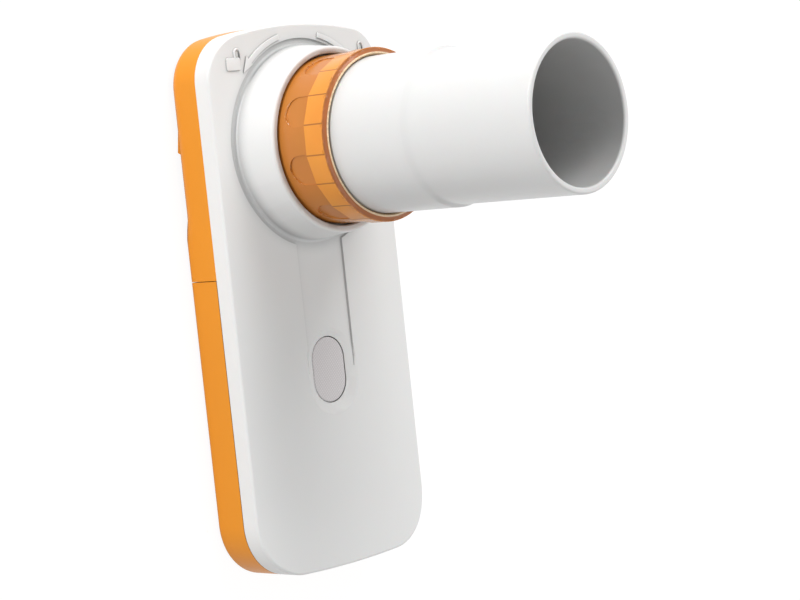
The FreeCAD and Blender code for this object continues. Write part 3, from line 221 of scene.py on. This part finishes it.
def amber_polycarbonate():
    """Clear tinted polycarbonate, with a painted highlight as the band's lighter amber and painted shade as
    the brim's brown.
    """
    material, tree, shader, place = surface("amber_polycarbonate", 7.0, 0.01, Roughness=0.16, IOR=1.58,
                                            Transmission_Weight=0.2, Specular_IOR_Level=0.15)
    parts = add_node(tree, "SeparateXYZ", {}, {"Vector": (place, "Object")})
    height = add_node(tree, "MapRange", {"From Min": 0.0, "From Max": HEAD_HIGH.z}, {"Value": (parts, "Z")})
    band_foot = (HEAD_HIGH.z - BAND_FOOT_DROP) / HEAD_HIGH.z
    band_top = (HEAD_HIGH.z - BAND_TOP_DROP) / HEAD_HIGH.z
    blur = 0.05 * MM / HEAD_HIGH.z
    # By height: the head's own amber, the band with a painted highlight, the brim with painted shade
    amber_zones_with_painted_light = add_node(tree, "ValToRGB", {"stops": [
        (band_foot - blur, colours().amber), (band_foot + blur, colours().band),
        (band_top - blur, colours().band), (band_top + blur, colours().brim)]}, {"Fac": (height, "Result")})
    in_band = add_node(tree, "ValToRGB", {"stops": [
        (band_foot - blur, (0, 0, 0, 1)), (band_foot + blur, (1, 1, 1, 1)),
        (band_top - blur, (1, 1, 1, 1)), (band_top + blur, (0, 0, 0, 1))]}, {"Fac": (height, "Result")})
    # Painted shade: each corner of the band gets a darker amber line 0.25 mm wide
    side = add_node(tree, "Math", {"operation": "SUBTRACT", 1: AXIS_Y}, {0: (parts, "Y")})
    around = add_node(tree, "Math", {"operation": "ARCTAN2"}, {0: (side, 0), 1: (parts, "X")})
    shifted = add_node(tree, "Math", {"operation": "SUBTRACT", 1: FIRST_CORNER}, {0: (around, 0)})
    away = add_node(tree, "Math", {"operation": "PINGPONG", 1: FACET_ANGLE / 2}, {0: (shifted, 0)})
    painted_edge_line = add_node(tree, "MapRange", {"From Min": math.radians(0.35), "From Max": math.radians(0.6),
                                      "To Min": 1.0, "To Max": 0.0}, {"Value": (away, "Value")})
    line = add_node(tree, "Math", {"operation": "MULTIPLY"}, {0: (painted_edge_line, "Result"), 1: (in_band, "Color")})
    with_painted_edge_lines = add_node(tree, "MixRGB", {"Color2": tinted(colours().amber, 0.75)}, {
        "Fac": (line, "Value"), "Color1": (amber_zones_with_painted_light, "Color")})
    # Painted highlight: a pale line on the brim's lip next to the tube
    arm = add_node(tree, "CombineXYZ", {}, {"X": (parts, "X"), "Y": (side, "Value")})
    radius = add_node(tree, "VectorMath", {"operation": "LENGTH"}, {0: (arm, "Vector")})
    inner = add_node(tree, "MapRange",
                     {"From Min": TUBE_HIGH.x + 0.8 * MM, "From Max": TUBE_HIGH.x + 0.7 * MM},
                     {"Value": (radius, "Value")})
    front = add_node(tree, "MapRange", {"From Min": band_top, "From Max": band_top + blur},
                     {"Value": (height, "Result")})
    thin = add_node(tree, "Math", {"operation": "MULTIPLY"}, {0: (inner, "Result"), 1: (front, "Result")})
    # The pale colour mixed in here is the painted highlight
    with_painted_lip_highlight = add_node(tree, "MixRGB", {"Color2": linear("#FFE2B8")}, {
        "Fac": (thin, "Value"), "Color1": (with_painted_edge_lines, "Color")})
    # Moulded-in flow: the tint drifts by a few percent over some millimetres
    flow = add_node(tree, "TexNoise", {"Scale": 1 / (5 * MM), "Detail": 2.0}, {"Vector": (place, "Object")})
    tint = add_node(tree, "MixRGB", {"blend_type": "MULTIPLY", "Fac": 0.08}, {
        "Color1": (with_painted_lip_highlight, "Color"), "Color2": (flow, "Color")})
    tree.links.new(tint.outputs["Color"], shader.inputs["Base Color"])
    return material


def polypropylene():
    """Glossy white polypropylene, washable: broad soft highlights, and painted shade that greys the bore with
    depth.
    """
    return painted_corner_shade(clouded("white_polypropylene", colours().tube, 0.8, 0.002, 0.006, Roughness=0.3,
                                  IOR=1.49, Subsurface_Weight=0.08, Subsurface_Scale=0.8 * MM), 40, 0.74)


def knurled_elastomer():
    """Grey elastomer with a fine diagonal diamond pattern, which the eye sees as a woven shimmer."""
    material, tree, shader, place = surface("grey_elastomer", 0.2, 0.004, Roughness=0.62, IOR=1.5)
    waves = []
    for turn in (58, -32):
        turned = add_node(tree, "Mapping", {"Rotation": (0, 0, math.radians(turn))},
                          {"Vector": (place, "Object")})
        # Period of 0.5 mm: a wave's period is a twentieth of pi over its scale
        waves.append(add_node(tree, "TexWave", {"Scale": math.pi / 10 / (0.5 * MM), "wave_profile": "SIN"},
                              {"Vector": (turned, "Vector")}))
    cross = add_node(tree, "Math", {"operation": "MULTIPLY"}, {0: (waves[0], "Fac"), 1: (waves[1], "Fac")})
    tone = add_node(tree, "ValToRGB", {"stops": [
        (0.0, tinted(colours().pad, 0.88)), (1.0, tinted(colours().pad, 1.06))]}, {"Fac": (cross, "Value")})
    tree.links.new(tone.outputs["Color"], shader.inputs["Base Color"])
    relief = add_node(tree, "Bump", {"Strength": 1.0, "Distance": 0.03 * MM}, {"Height": (cross, "Value")})
    tree.links.new(relief.outputs["Normal"], shader.inputs["Normal"])
    return material


def solder_mask():
    """Glass epoxy board under green mask: copper runs show through as paler lines."""
    material, tree, shader, place = surface("green_solder_mask", 0.4, 0.004, Roughness=0.3, IOR=1.5)
    runs = add_node(tree, "TexBrick", {"Scale": 1 / (4 * MM), "Mortar Size": 0.05, "Color1": colours().mask,
                                       "Color2": tinted(colours().mask, 0.85),
                                       "Mortar": tinted(colours().mask, 1.7)}, {"Vector": (place, "Object")})
    tree.links.new(runs.outputs["Color"], shader.inputs["Base Color"])
    return material


def plain_metal(name, colour, roughness, grain=0.5):
    """Plated or drawn metal with faint tool marks."""
    return clouded(name, linear(colour), grain, 0.003, 0.05, 3, Metallic=1.0, Roughness=roughness)


def cell_jacket():
    """Plain foil jacket without any print: half metallic, its tint drifting over some millimetres."""
    material, tree, shader, place = surface("foil_cell_jacket", 2.0, 0.004, Roughness=0.3, IOR=1.5,
                                            Metallic=0.3)
    cloud = add_node(tree, "TexNoise", {"Scale": 1 / (6 * MM)}, {"Vector": (place, "Object")})
    tone = add_node(tree, "ValToRGB", {"stops": [
        (0.3, tinted(colours().jacket, 0.9)), (0.7, tinted(colours().jacket, 1.1))]}, {"Fac": (cloud, "Fac")})
    tree.links.new(tone.outputs["Color"], shader.inputs["Base Color"])
    return material


FINISHES = {
    "white_shell": white_abs,
    "orange_shell": orange_abs,
    "amber_plastic": amber_polycarbonate,
    "mouthpiece_white": polypropylene,
    "button_grey": knurled_elastomer,
    # Moulded ABS from an eroded tool: soft wide highlights on near black
    "tray_plastic": lambda: clouded("black_moulded_abs", linear("#26282A"), 0.3, 0.004, 0.06, Roughness=0.5),
    "cell_jacket": cell_jacket,
    # Nickel on stamped steel: a warm, fairly bright mirror
    "contact_steel": lambda: plain_metal("nickel_plated_steel", "#C9C6BE", 0.28),
    "board_green": solder_mask,
    # Filled epoxy with a fine grit: matt black
    "component_black": lambda: clouded("black_epoxy", linear("#1B1C1E"), 0.15, 0.006, 0.1, 3, Roughness=0.55),
    # Tin on a stamped can: a cooler, duller mirror with coarse rolling marks
    "shield_tin": lambda: plain_metal("tinned_steel_can", "#BFC2C4", 0.35, 0.8),
    # Cast epoxy that blocks daylight: violet black under a clear gloss
    "sensor_plastic": lambda: clouded("dark_infrared_epoxy", linear("#2A2030"), 0.8, 0.003, 0.05, 3,
                                      Roughness=0.15, Coat_Weight=0.5, Coat_Roughness=0.05),
    # Moulded acetal without pigment: milky, with light soaking in at thin edges
    "swirler_plastic": lambda: clouded("natural_acetal", linear("#DAD9D2"), 0.5, 0.003, 0.015, 8,
                                       Roughness=0.35, Subsurface_Weight=0.1, Subsurface_Scale=0.6 * MM),
    # Brass turned on a lathe: fine tool marks in a yellow mirror
    "bearing_brass": lambda: plain_metal("turned_brass", "#C9A85C", 0.25, 0.2),
    # Ground steel: the brightest and finest of the metals
    "axle_steel": lambda: plain_metal("ground_steel", "#B9BCC0", 0.15, 0.1),
    # Rolled polyester film, dyed black: an even low sheen
    "vane_plastic": lambda: clouded("black_vane_film", linear("#303236"), 0.4, 0.003, 0.05, 5, Roughness=0.4),
    # Zinc plate: a bluish grey mirror, a little blurred
    "screw_steel": lambda: plain_metal("zinc_plated_steel", "#B4B8BC", 0.3, 0.3),
}


def finish(slot):
    """The material of a slot, made once."""
    if slot not in MADE:
        MADE[slot] = FINISHES[slot]()
    return MADE[slot]


MADE = {}


# Modelling

def deselect():
    for item in bpy.context.selected_objects:
        item.select_set(False)


def make_active(item):
    deselect()
    item.select_set(True)
    bpy.context.view_layer.objects.active = item


def started(operator, name, **settings):
    """A new primitive, alone in the selection."""
    deselect()
    operator(**settings)
    item = bpy.context.active_object
    item.name = item.data.name = name
    return item


def settled(item):
    """Put the piece's place, turn and scale into its mesh."""
    make_active(item)
    bpy.ops.object.transform_apply(location=True, rotation=True, scale=True)
    return item


def apply_modifier(item, kind, **settings):
    make_active(item)
    modifier = item.modifiers.new(kind.title(), kind)
    for name, value in settings.items():
        setattr(modifier, name, value)
    bpy.ops.object.modifier_apply(modifier=modifier.name)


def joined(name, items):
    deselect()
    for item in items:
        item.select_set(True)
    bpy.context.view_layer.objects.active = items[0]
    if len(items) > 1:
        bpy.ops.object.join()
    items[0].name = items[0].data.name = name
    return items[0]


def smoothed(item, angle=30.0):
    make_active(item)
    bpy.ops.object.shade_smooth_by_angle(angle=math.radians(angle))
    return item


def weighted(item, angle):
    """Smooth shading that keeps flat faces flat and edges above an angle sharp."""
    smoothed(item, angle)
    apply_modifier(item, "WEIGHTED_NORMAL", keep_sharp=True, weight=80)
    return item


def merged_copy(node, name):
    """A copy of a node with its triangles joined."""
    make_active(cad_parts[node])
    bpy.ops.object.duplicate()
    item = bpy.context.active_object
    item.name = item.data.name = name
    for key in list(item.keys()):
        del item[key]
    item.parent = None
    make_active(item)
    bpy.ops.object.mode_set(mode="EDIT")
    bpy.ops.mesh.select_all(action="SELECT")
    bpy.ops.mesh.remove_doubles(threshold=SEAM)
    bpy.ops.object.mode_set(mode="OBJECT")
    return item


def skin(node, name, angle=28.0):
    """A smooth copy of a node."""
    return weighted(merged_copy(node, name), angle)


def fitted(item, body, slot, *nodes):
    """Give the piece its finish, its body and the nodes that it stands for."""
    item.data.materials.clear()
    item.data.materials.append(finish(slot))
    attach(item, body)
    if nodes:
        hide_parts(*nodes)
    return item


def cut_away(item, cutter):
    """Cut one closed piece out of another."""
    apply_modifier(item, "BOOLEAN", operation="DIFFERENCE", solver="EXACT", object=cutter)
    bpy.data.objects.remove(cutter)


def face_drop(x):
    """How far the face lies below its flat middle at x: it rolls off towards its side edges."""
    return sizes().edge_drop * min(abs(x) / FRONT_HIGH.x, 1) ** 5


def bowed(item):
    """Lower a sign with the face under it."""
    for vertex in item.data.vertices:
        vertex.co.z -= face_drop(vertex.co.x)
    return item


def sliced(item, cuts):
    """Cut the whole mesh across; each cut is a place on it and the direction across it."""
    make_active(item)
    bpy.ops.object.mode_set(mode="EDIT")
    for place, across in cuts:
        bpy.ops.mesh.select_all(action="SELECT")
        bpy.ops.mesh.bisect(plane_co=place, plane_no=across)
    bpy.ops.object.mode_set(mode="OBJECT")


def crowned(item):
    """Roll the front shell's face off at its sides: slices along the length, then moved down."""
    sliced(item, [((side * place * MM, 0, 0), (1, 0, 0))
                  for place in (12, 15, 17.5, 19.5, 21, 22.3, 23.4) for side in (-1, 1)])
    mesh = item.data
    # The drop grows from low to full, and dies out up the collar from fade to top
    low, full, fade, top = 8 * MM, 11 * MM, FACE_Z + 0.4 * MM, FACE_Z + 5 * MM
    level = {v for face in mesh.polygons if face.normal.z > 0.99999 and full < face.center.z < fade
             for v in face.vertices}
    for vertex in mesh.vertices:
        z = vertex.co.z
        share = min(max((z - low) / (full - low), 0), 1) * min(max((top - z) / (top - fade), 0), 1)
        vertex.co.z -= face_drop(vertex.co.x) * share
    weighted(item, 28)

    def rolled(vertex):
        if vertex.index in level:
            slope = (face_drop(vertex.co.x + SEAM) - face_drop(vertex.co.x - SEAM)) / (2 * SEAM)
            return Vector((slope, 0, 1)).normalized()

    return true_normals(item, rolled, 0.97)


def true_normals(item, rule, close):
    """Work out normals where rule gives one: the CAD's long triangles would streak a smooth face."""
    mesh = item.data
    normals = [Vector(n.vector) for n in mesh.corner_normals]
    for face in mesh.polygons:
        for corner in face.loop_indices:
            exact = rule(mesh.vertices[mesh.loops[corner].vertex_index])
            if exact and face.normal.dot(exact) > close:
                normals[corner] = exact
    mesh.normals_split_custom_set(normals)
    return item


def eased_edge(item):
    """Draw the rear shell's lower outer edge in beside the turbine, where its back is stepped."""
    sliced(item, [((0, 0, height * MM), (0, 0, 1)) for height in (1.3, 1.9, 2.8)]
           + [((0, place * MM, 0), (0, 1, 0)) for place in (13, 16, 19)])
    places = [Vector((v.co.x, v.co.y)) for v in item.data.vertices]
    rim = [places[i] for i in geometry.convex_hull_2d(places)]
    sides = list(zip(rim, rim[1:] + rim[:1]))
    for vertex, place in zip(item.data.vertices, places):
        low = min(max((EASE_TOP - vertex.co.z) / EASE_HEIGHT, 0), 1)
        far = min(max((place.y - EASE_START) / EASE_LENGTH, 0), 1)
        inset = EASE_INSET * low * low * far
        if inset > 0 and min(gap_to(place, *side) for side in sides) < RIM_GAP:
            vertex.co.x *= 1 - inset / FRONT_HIGH.x
            vertex.co.y *= 1 - inset / FRONT_HIGH.y
        # Points of the flat back just inside the old edge come in with it
        limit = FRONT_HIGH.x - inset
        vertex.co.x = max(min(vertex.co.x, limit), -limit)
    return item


def gap_to(place, start, end):
    """How far a place is from a straight side."""
    near, share = geometry.intersect_point_line(place, start, end)
    return (place - near.to_2d()).length if -0.01 <= share <= 1.01 else 1.0


def barrel_normal(vertex):
    """The outward direction of a point on the round barrel of the grip head."""
    arm = Vector((vertex.co.x, vertex.co.y - AXIS_Y, 0))
    if abs(arm.length - BARREL_RADIUS) < 0.02 * MM and vertex.co.z > FRONT_HIGH.z:
        return arm.normalized()


# Relief signs on the face

def arrow_point(radius, angle):
    return (radius * math.cos(math.radians(angle)), AXIS_Y + radius * math.sin(math.radians(angle)))


def sign_plate(name, corners):
    """A flat raised plate with the given corners, from below the face to the signs' height."""
    plate = started(bpy.ops.mesh.primitive_circle_add, name, vertices=len(corners), radius=MM,
                    fill_type="NGON", location=(0, 0, 0))
    for vertex, (x, y) in zip(plate.data.vertices, corners):
        vertex.co = (x, y, FACE_Z - SIGN_ROOT)
    rise = (0, 0, SIGN_ROOT + sizes().sign_height)
    bpy.ops.object.mode_set(mode="EDIT")
    bpy.ops.mesh.select_all(action="SELECT")
    bpy.ops.mesh.extrude_region_move(TRANSFORM_OT_translate={"value": rise})
    bpy.ops.mesh.select_all(action="SELECT")
    bpy.ops.mesh.normals_make_consistent(inside=False)
    bpy.ops.object.mode_set(mode="OBJECT")
    return plate


def arc_band(name, low, high):
    """A raised band round the turbine's axis between two angles in degrees."""
    radius, width = sizes().arrow_radius, sizes().arrow_width
    start = math.radians(low)
    height = SIGN_ROOT + sizes().sign_height
    middle = FACE_Z + sizes().sign_height - height / 2
    band = started(bpy.ops.mesh.primitive_plane_add, name, size=1,
                   location=(radius * math.cos(start), AXIS_Y + radius * math.sin(start), middle),
                   rotation=(math.pi / 2, 0, start))
    band.scale = (width, height, 1)
    settled(band)
    bpy.ops.object.mode_set(mode="EDIT")
    bpy.ops.mesh.select_all(action="SELECT")
    bpy.ops.mesh.spin(steps=24, angle=math.radians(low - high), center=(0, AXIS_Y, 0), axis=(0, 0, 1))
    bpy.ops.mesh.select_all(action="SELECT")
    bpy.ops.mesh.remove_doubles(threshold=SEAM)
    bpy.ops.mesh.normals_make_consistent(inside=False)
    bpy.ops.object.mode_set(mode="OBJECT")
    return band


def shackle(name, x, y):
    """A raised hook: half a ring with two short legs."""
    hook = started(bpy.ops.mesh.primitive_torus_add, name, location=(x, y, FACE_Z + 0.02 * MM),
                   major_segments=40, minor_segments=14, major_radius=0.68 * MM, minor_radius=0.24 * MM)
    hook.scale = (1, 1, 1.25)
    settled(hook)
    bpy.ops.object.mode_set(mode="EDIT")
    bpy.ops.mesh.select_all(action="SELECT")
    bpy.ops.mesh.bisect(plane_co=(x, y, 0), plane_no=(0, 1, 0), clear_inner=True)
    bpy.ops.mesh.extrude_region_move(TRANSFORM_OT_translate={"value": (0, -1.2 * MM, 0)})
    bpy.ops.object.mode_set(mode="OBJECT")
    mesh = bmesh.new()
    mesh.from_mesh(hook.data)
    bmesh.ops.holes_fill(mesh, edges=[e for e in mesh.edges if e.is_boundary], sides=0)
    bmesh.ops.recalc_face_normals(mesh, faces=mesh.faces)
    mesh.to_mesh(hook.data)
    mesh.free()
    return hook


def padlock(name, x, y, shift):
    """A raised padlock: a rounded square and a hook, which stands to one side when it is open."""
    half_width, half_height, height = 1.68 * MM, 1.25 * MM, SIGN_ROOT + sizes().sign_height
    block = started(bpy.ops.mesh.primitive_cube_add, name, size=1,
                    location=(x, y, FACE_Z + sizes().sign_height - height / 2))
    block.scale = (2 * half_width, 2 * half_height, height)
    settled(block)
    bpy.ops.object.mode_set(mode="EDIT")
    bpy.ops.mesh.select_mode(type="EDGE")
    bpy.ops.mesh.select_all(action="DESELECT")
    mesh = bmesh.from_edit_mesh(block.data)
    for edge in mesh.edges:
        upright = abs(edge.verts[0].co.z - edge.verts[1].co.z) > height / 2
        edge.select_set(upright)
    bmesh.update_edit_mesh(block.data)
    bpy.ops.mesh.bevel(offset=0.35 * MM, segments=5, affect="EDGES")
    bpy.ops.object.mode_set(mode="OBJECT")
    apply_modifier(block, "BEVEL", width=0.1 * MM, segments=3, limit_method="ANGLE")
    return joined(name, [block, shackle(name + "_hook", x + shift, y + half_height + 0.95 * MM)])


class PEAKFLOW_OT_signs(bpy.types.Operator):
    """Raised padlocks and curved arrows that show which way the turbine locks"""
    bl_idname = "peakflow.signs"
    bl_label = "Lock signs"

    def execute(self, context):
        for side, name, angles, shift in ((-1, "open", (104.5, 130), 1.2), (1, "closed", (50, 75.5), 0)):
            tip = 137.6 if side < 0 else 42.4
            base = 129.6 if side < 0 else 50.4
            radius = sizes().arrow_radius
            corners = [arrow_point(radius + 1.35 * MM, base), arrow_point(radius - MM, base),
                       arrow_point(radius - 0.25 * MM, tip)]
            head = sign_plate("arrow_head", corners)
            arrow = joined(f"{name}_arrow", [arc_band("arrow_band", *angles), head])
            apply_modifier(arrow, "BEVEL", width=0.09 * MM, segments=3, limit_method="ANGLE")
            lock = padlock(f"{name}_padlock", side * 18.33 * MM, 47.2 * MM, shift * MM)
            for item in (arrow, lock):
                fitted(smoothed(bowed(item), 35), "casing", "white_shell")
        return {"FINISHED"}


class PEAKFLOW_OT_casing(bpy.types.Operator):
    """Smooth shells of the casing and the battery door"""
    bl_idname = "peakflow.casing"
    bl_label = "Casing"

    def execute(self, context):
        front = crowned(merged_copy("front_cover", "front_shell"))
        fitted(front, "casing", "white_shell", "front_cover")
        rear = weighted(eased_edge(merged_copy("rear_cover", "rear_shell")), 28)
        fitted(rear, "casing", "orange_shell", "rear_cover")
        fitted(skin("battery_cover", "battery_door"), "battery_door", "orange_shell", "battery_cover")
        return {"FINISHED"}


class PEAKFLOW_OT_turbine(bpy.types.Operator):
    """Amber turbine housing with its swirlers, bearings and rotor"""
    bl_idname = "peakflow.turbine"
    bl_label = "Turbine"

    def execute(self, context):
        head = true_normals(skin("turbine_housing", "turbine_body", 16), barrel_normal, 0.99)
        fitted(head, "turbine", "amber_plastic", "turbine_housing")
        for node in ("front_swirler", "rear_swirler"):
            fitted(skin(node, node + "_blades"), "turbine", "swirler_plastic", node)
        for node in ("front_bearing", "rear_bearing"):
            fitted(skin(node, node + "_cup"), "turbine", "bearing_brass", node)
        fitted(skin("rotor_vane", "rotor_blade"), "rotor", "vane_plastic", "rotor_vane")
        fitted(skin("rotor_axle", "rotor_pin"), "rotor", "axle_steel", "rotor_axle")
        return {"FINISHED"}


class PEAKFLOW_OT_mouthpiece(bpy.types.Operator):
    """Smooth white mouthpiece"""
    bl_idname = "peakflow.mouthpiece"
    bl_label = "Mouthpiece"

    def execute(self, context):
        fitted(skin("mouthpiece", "mouth_tube"), "mouth_tube", "mouthpiece_white", "mouthpiece")
        return {"FINISHED"}


class PEAKFLOW_OT_button(bpy.types.Operator):
    """Power button and the switch under it"""
    bl_idname = "peakflow.button"
    bl_label = "Power button"

    def execute(self, context):
        fitted(skin("power_button", "button_cap"), "button", "button_grey", "power_button")
        fitted(skin("switch_plunger", "switch_stem"), "button", "component_black", "switch_plunger")
        return {"FINISHED"}


def crossed_screws(node, name):
    """The screws of a node with a cross recess in each head."""
    group = skin(node, name)
    make_active(group)
    bpy.ops.object.mode_set(mode="EDIT")
    bpy.ops.mesh.select_all(action="SELECT")
    bpy.ops.mesh.separate(type="LOOSE")
    bpy.ops.object.mode_set(mode="OBJECT")
    screws = list(bpy.context.selected_objects)
    depth = sizes().recess_depth
    for item in screws:
        points = [v.co for v in item.data.vertices]
        x, y = (sum(f(p[i] for p in points) for f in (min, max)) / 2 for i in (0, 1))
        foot = min(p.z for p in points)
        for length, width in ((2.0, 0.45), (0.45, 2.0)):
            bar = started(bpy.ops.mesh.primitive_cube_add, "recess", size=1, location=(x, y, foot))
            bar.scale = (length * MM, width * MM, 2 * depth)
            settled(bar)
            bpy.ops.object.mode_set(mode="EDIT")
            mesh = bmesh.from_edit_mesh(bar.data)
            for vertex in mesh.verts:
                if vertex.co.z > foot:
                    vertex.co.x, vertex.co.y = (x + (vertex.co.x - x) * 0.55, y + (vertex.co.y - y) * 0.55)
            bmesh.update_edit_mesh(bar.data)
            bpy.ops.object.mode_set(mode="OBJECT")
            cut_away(item, bar)
    return smoothed(joined(name, screws), 30)


class PEAKFLOW_OT_screws(bpy.types.Operator):
    """Pan head screws with cross recesses"""
    bl_idname = "peakflow.screws"
    bl_label = "Screws"

    def execute(self, context):
        for node in ("case_screws", "tray_screws", "socket_screws"):
            fitted(crossed_screws(node, node.replace("screws", "screw_set")), "casing", "screw_steel", node)
        return {"FINISHED"}


class PEAKFLOW_OT_inside(bpy.types.Operator):
    """Pieces inside the casing"""
    bl_idname = "peakflow.inside"
    bl_label = "Inside"

    def execute(self, context):
        for node, name, slot in (
                ("battery_tray", "cell_tray", "tray_plastic"),
                ("turbine_socket", "duct_socket", "white_shell"),
                ("bayonet_ring", "lock_ring", "white_shell"),
                ("infrared_emitters", "emitter_pair", "sensor_plastic"),
                ("infrared_receivers", "receiver_pair", "sensor_plastic"),
                ("circuit_board", "main_board", "board_green"),
                ("tact_switch", "switch_case", "component_black"),
                ("radio_module", "radio_can", "shield_tin"),
                ("microcontroller", "controller_chip", "component_black"),
                ("battery_contacts", "contact_plates", "contact_steel"),
                ("battery_springs", "cell_springs", "contact_steel")):
            fitted(skin(node, name), "casing", slot, node)
        for node, name in (("battery_left", "left_cell"), ("battery_right", "right_cell")):
            cell = fitted(skin(node, name), "casing", "cell_jacket", node)
            steel_ends(cell, node)
        return {"FINISHED"}


def steel_ends(cell, node):
    """Bare steel on the flat ends and the nub of a cell; the jacket wraps the rest."""
    low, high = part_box(node)
    middle = (low + high) / 2
    cell.data.materials.append(finish("contact_steel"))
    for face in cell.data.polygons:
        arm = math.hypot(face.center.x - middle.x, face.center.z - middle.z)
        if arm < NUB_REACH or abs(face.normal.y) > 0.9 and arm < END_REACH:
            face.material_index = 1


# Stage

CAMERA_PLACE = (-345.638, 29.206, 345.893)
CAMERA_RIGHT = (0.662558, -0.105307, 0.741571)
CAMERA_UP = (0.119582, 0.992240, 0.034063)
CAMERA_FORWARD = (0.739403, -0.066110, -0.670009)
CAMERA_LENS = 107.91


def area_lamp(name, place, target, size, power):
    lamp = bpy.data.lights.new(name, "AREA")
    lamp.shape = "RECTANGLE"
    lamp.size, lamp.size_y = size
    lamp.energy = power
    item = bpy.data.objects.new(name, lamp)
    item.location = place
    item.rotation_euler = (Vector(target) - Vector(place)).to_track_quat("-Z", "Y").to_euler()
    bpy.context.scene.collection.objects.link(item)


def seen_directly(tree):
    """1 for camera, glossy and transmission rays, else 0."""
    path = add_node(tree, "LightPath")
    first = add_node(tree, "Math", {"operation": "MAXIMUM"},
                     {0: (path, "Is Camera Ray"), 1: (path, "Is Glossy Ray")})
    return add_node(tree, "Math", {"operation": "MAXIMUM"}, {0: (first, 0), 1: (path, "Is Transmission Ray")})


def floor_white():
    """Matt white floor that looks white to the camera and keeps a faint shadow."""
    material = bpy.data.materials.new("matt_white_floor")
    material.use_nodes = True
    tree = material.node_tree
    tree.nodes.remove(tree.nodes["Principled BSDF"])
    plain = add_node(tree, "BsdfDiffuse", {"Color": (0.8, 0.8, 0.8, 1)})
    glow = add_node(tree, "Emission", {"Color": (1, 1, 1, 1), "Strength": 0.93})
    thin = add_node(tree, "BsdfDiffuse", {"Color": (0.12, 0.12, 0.12, 1)})
    bright = add_node(tree, "AddShader", {}, {0: (glow, 0), 1: (thin, 0)})
    mix = add_node(tree, "MixShader", {}, {0: (seen_directly(tree), 0), 1: (plain, 0), 2: (bright, 0)})
    tree.links.new(mix.outputs[0], tree.nodes["Material Output"].inputs["Surface"])
    return material


def white_world(scene):
    """Even pale light from all round, and pure white where the camera looks past the floor."""
    world = bpy.data.worlds.new("white_room")
    world.use_nodes = True
    scene.world = world
    tree = world.node_tree
    backdrop = tree.nodes["Background"]
    backdrop.inputs["Color"].default_value = (1, 1, 1, 1)
    backdrop.inputs["Strength"].default_value = 0.44
    direct = add_node(tree, "Background", {"Color": (1, 1, 1, 1), "Strength": 1.0})
    mix = add_node(tree, "MixShader", {}, {0: (seen_directly(tree), 0), 1: (backdrop, 0), 2: (direct, 0)})
    tree.links.new(mix.outputs[0], tree.nodes["World Output"].inputs["Surface"])


class PEAKFLOW_OT_stage(bpy.types.Operator):
    """Floor, plain studio light and the camera"""
    bl_idname = "peakflow.stage"
    bl_label = "Stage"

    def execute(self, context):
        scene = context.scene
        scene.view_settings.view_transform = "Standard"
        # A hair below the back, which is as flat as the floor and would flicker on it
        floor = settled(started(bpy.ops.mesh.primitive_plane_add, "floor", size=12,
                                location=(0, 0, -FLOOR_GAP)))
        floor.data.materials.append(floor_white())
        white_world(scene)
        area_lamp("left_strip", (-0.76, 0.56, 0.012), (0, 0.02, 0.012), (0.7, 0.02), 5.7)
        area_lamp("top_right", (0.24, 0.85, 0.66), (0, 0.02, 0.02), (0.6, 0.6), 7.0)
        area_lamp("front", (0.05, -0.35, 1.0), (0, 0, 0.02), (0.7, 0.7), 2.2)
        lens = bpy.data.cameras.new("camera")
        lens.lens = CAMERA_LENS
        lens.sensor_width = 36
        lens.clip_start = 0.01
        lens.clip_end = 50
        camera = bpy.data.objects.new("camera", lens)
        turn = Matrix((CAMERA_RIGHT, CAMERA_UP, [-v for v in CAMERA_FORWARD])).transposed()
        camera.matrix_world = Matrix.Translation(Vector(CAMERA_PLACE) * MM) @ turn.to_4x4()
        scene.collection.objects.link(camera)
        scene.camera = camera
        return {"FINISHED"}


OPERATORS = (PEAKFLOW_OT_casing, PEAKFLOW_OT_signs, PEAKFLOW_OT_turbine, PEAKFLOW_OT_mouthpiece,
             PEAKFLOW_OT_button, PEAKFLOW_OT_screws, PEAKFLOW_OT_inside, PEAKFLOW_OT_stage)


class PEAKFLOW_PT_panel(bpy.types.Panel):
    """Lists the pieces of the peak flow meter"""
    bl_idname = "PEAKFLOW_PT_panel"
    bl_label = "Peak Flow Meter"
    bl_space_type = "VIEW_3D"
    bl_region_type = "UI"
    bl_category = "Peak Flow"

    def draw(self, context):
        for operator in OPERATORS:
            self.layout.operator(operator.bl_idname)
        for group in (context.scene.peak_flow_colours, context.scene.peak_flow_sizes):
            for name in group.__annotations__:
                self.layout.prop(group, name)


CLASSES = (PeakFlowColours, PeakFlowSizes, *OPERATORS, PEAKFLOW_PT_panel)


def register():
    for item in CLASSES:
        bpy.utils.register_class(item)
    bpy.types.Scene.peak_flow_colours = bpy.props.PointerProperty(type=PeakFlowColours)
    bpy.types.Scene.peak_flow_sizes = bpy.props.PointerProperty(type=PeakFlowSizes)


def unregister():
    del bpy.types.Scene.peak_flow_sizes
    del bpy.types.Scene.peak_flow_colours
    for item in reversed(CLASSES):
        bpy.utils.unregister_class(item)


def main():
    register()
    bpy.ops.peakflow.casing()
    bpy.ops.peakflow.signs()
    bpy.ops.peakflow.turbine()
    bpy.ops.peakflow.mouthpiece()
    bpy.ops.peakflow.button()
    bpy.ops.peakflow.screws()
    bpy.ops.peakflow.inside()
    bpy.ops.peakflow.stage()


if __name__ == "__main__":
    main()
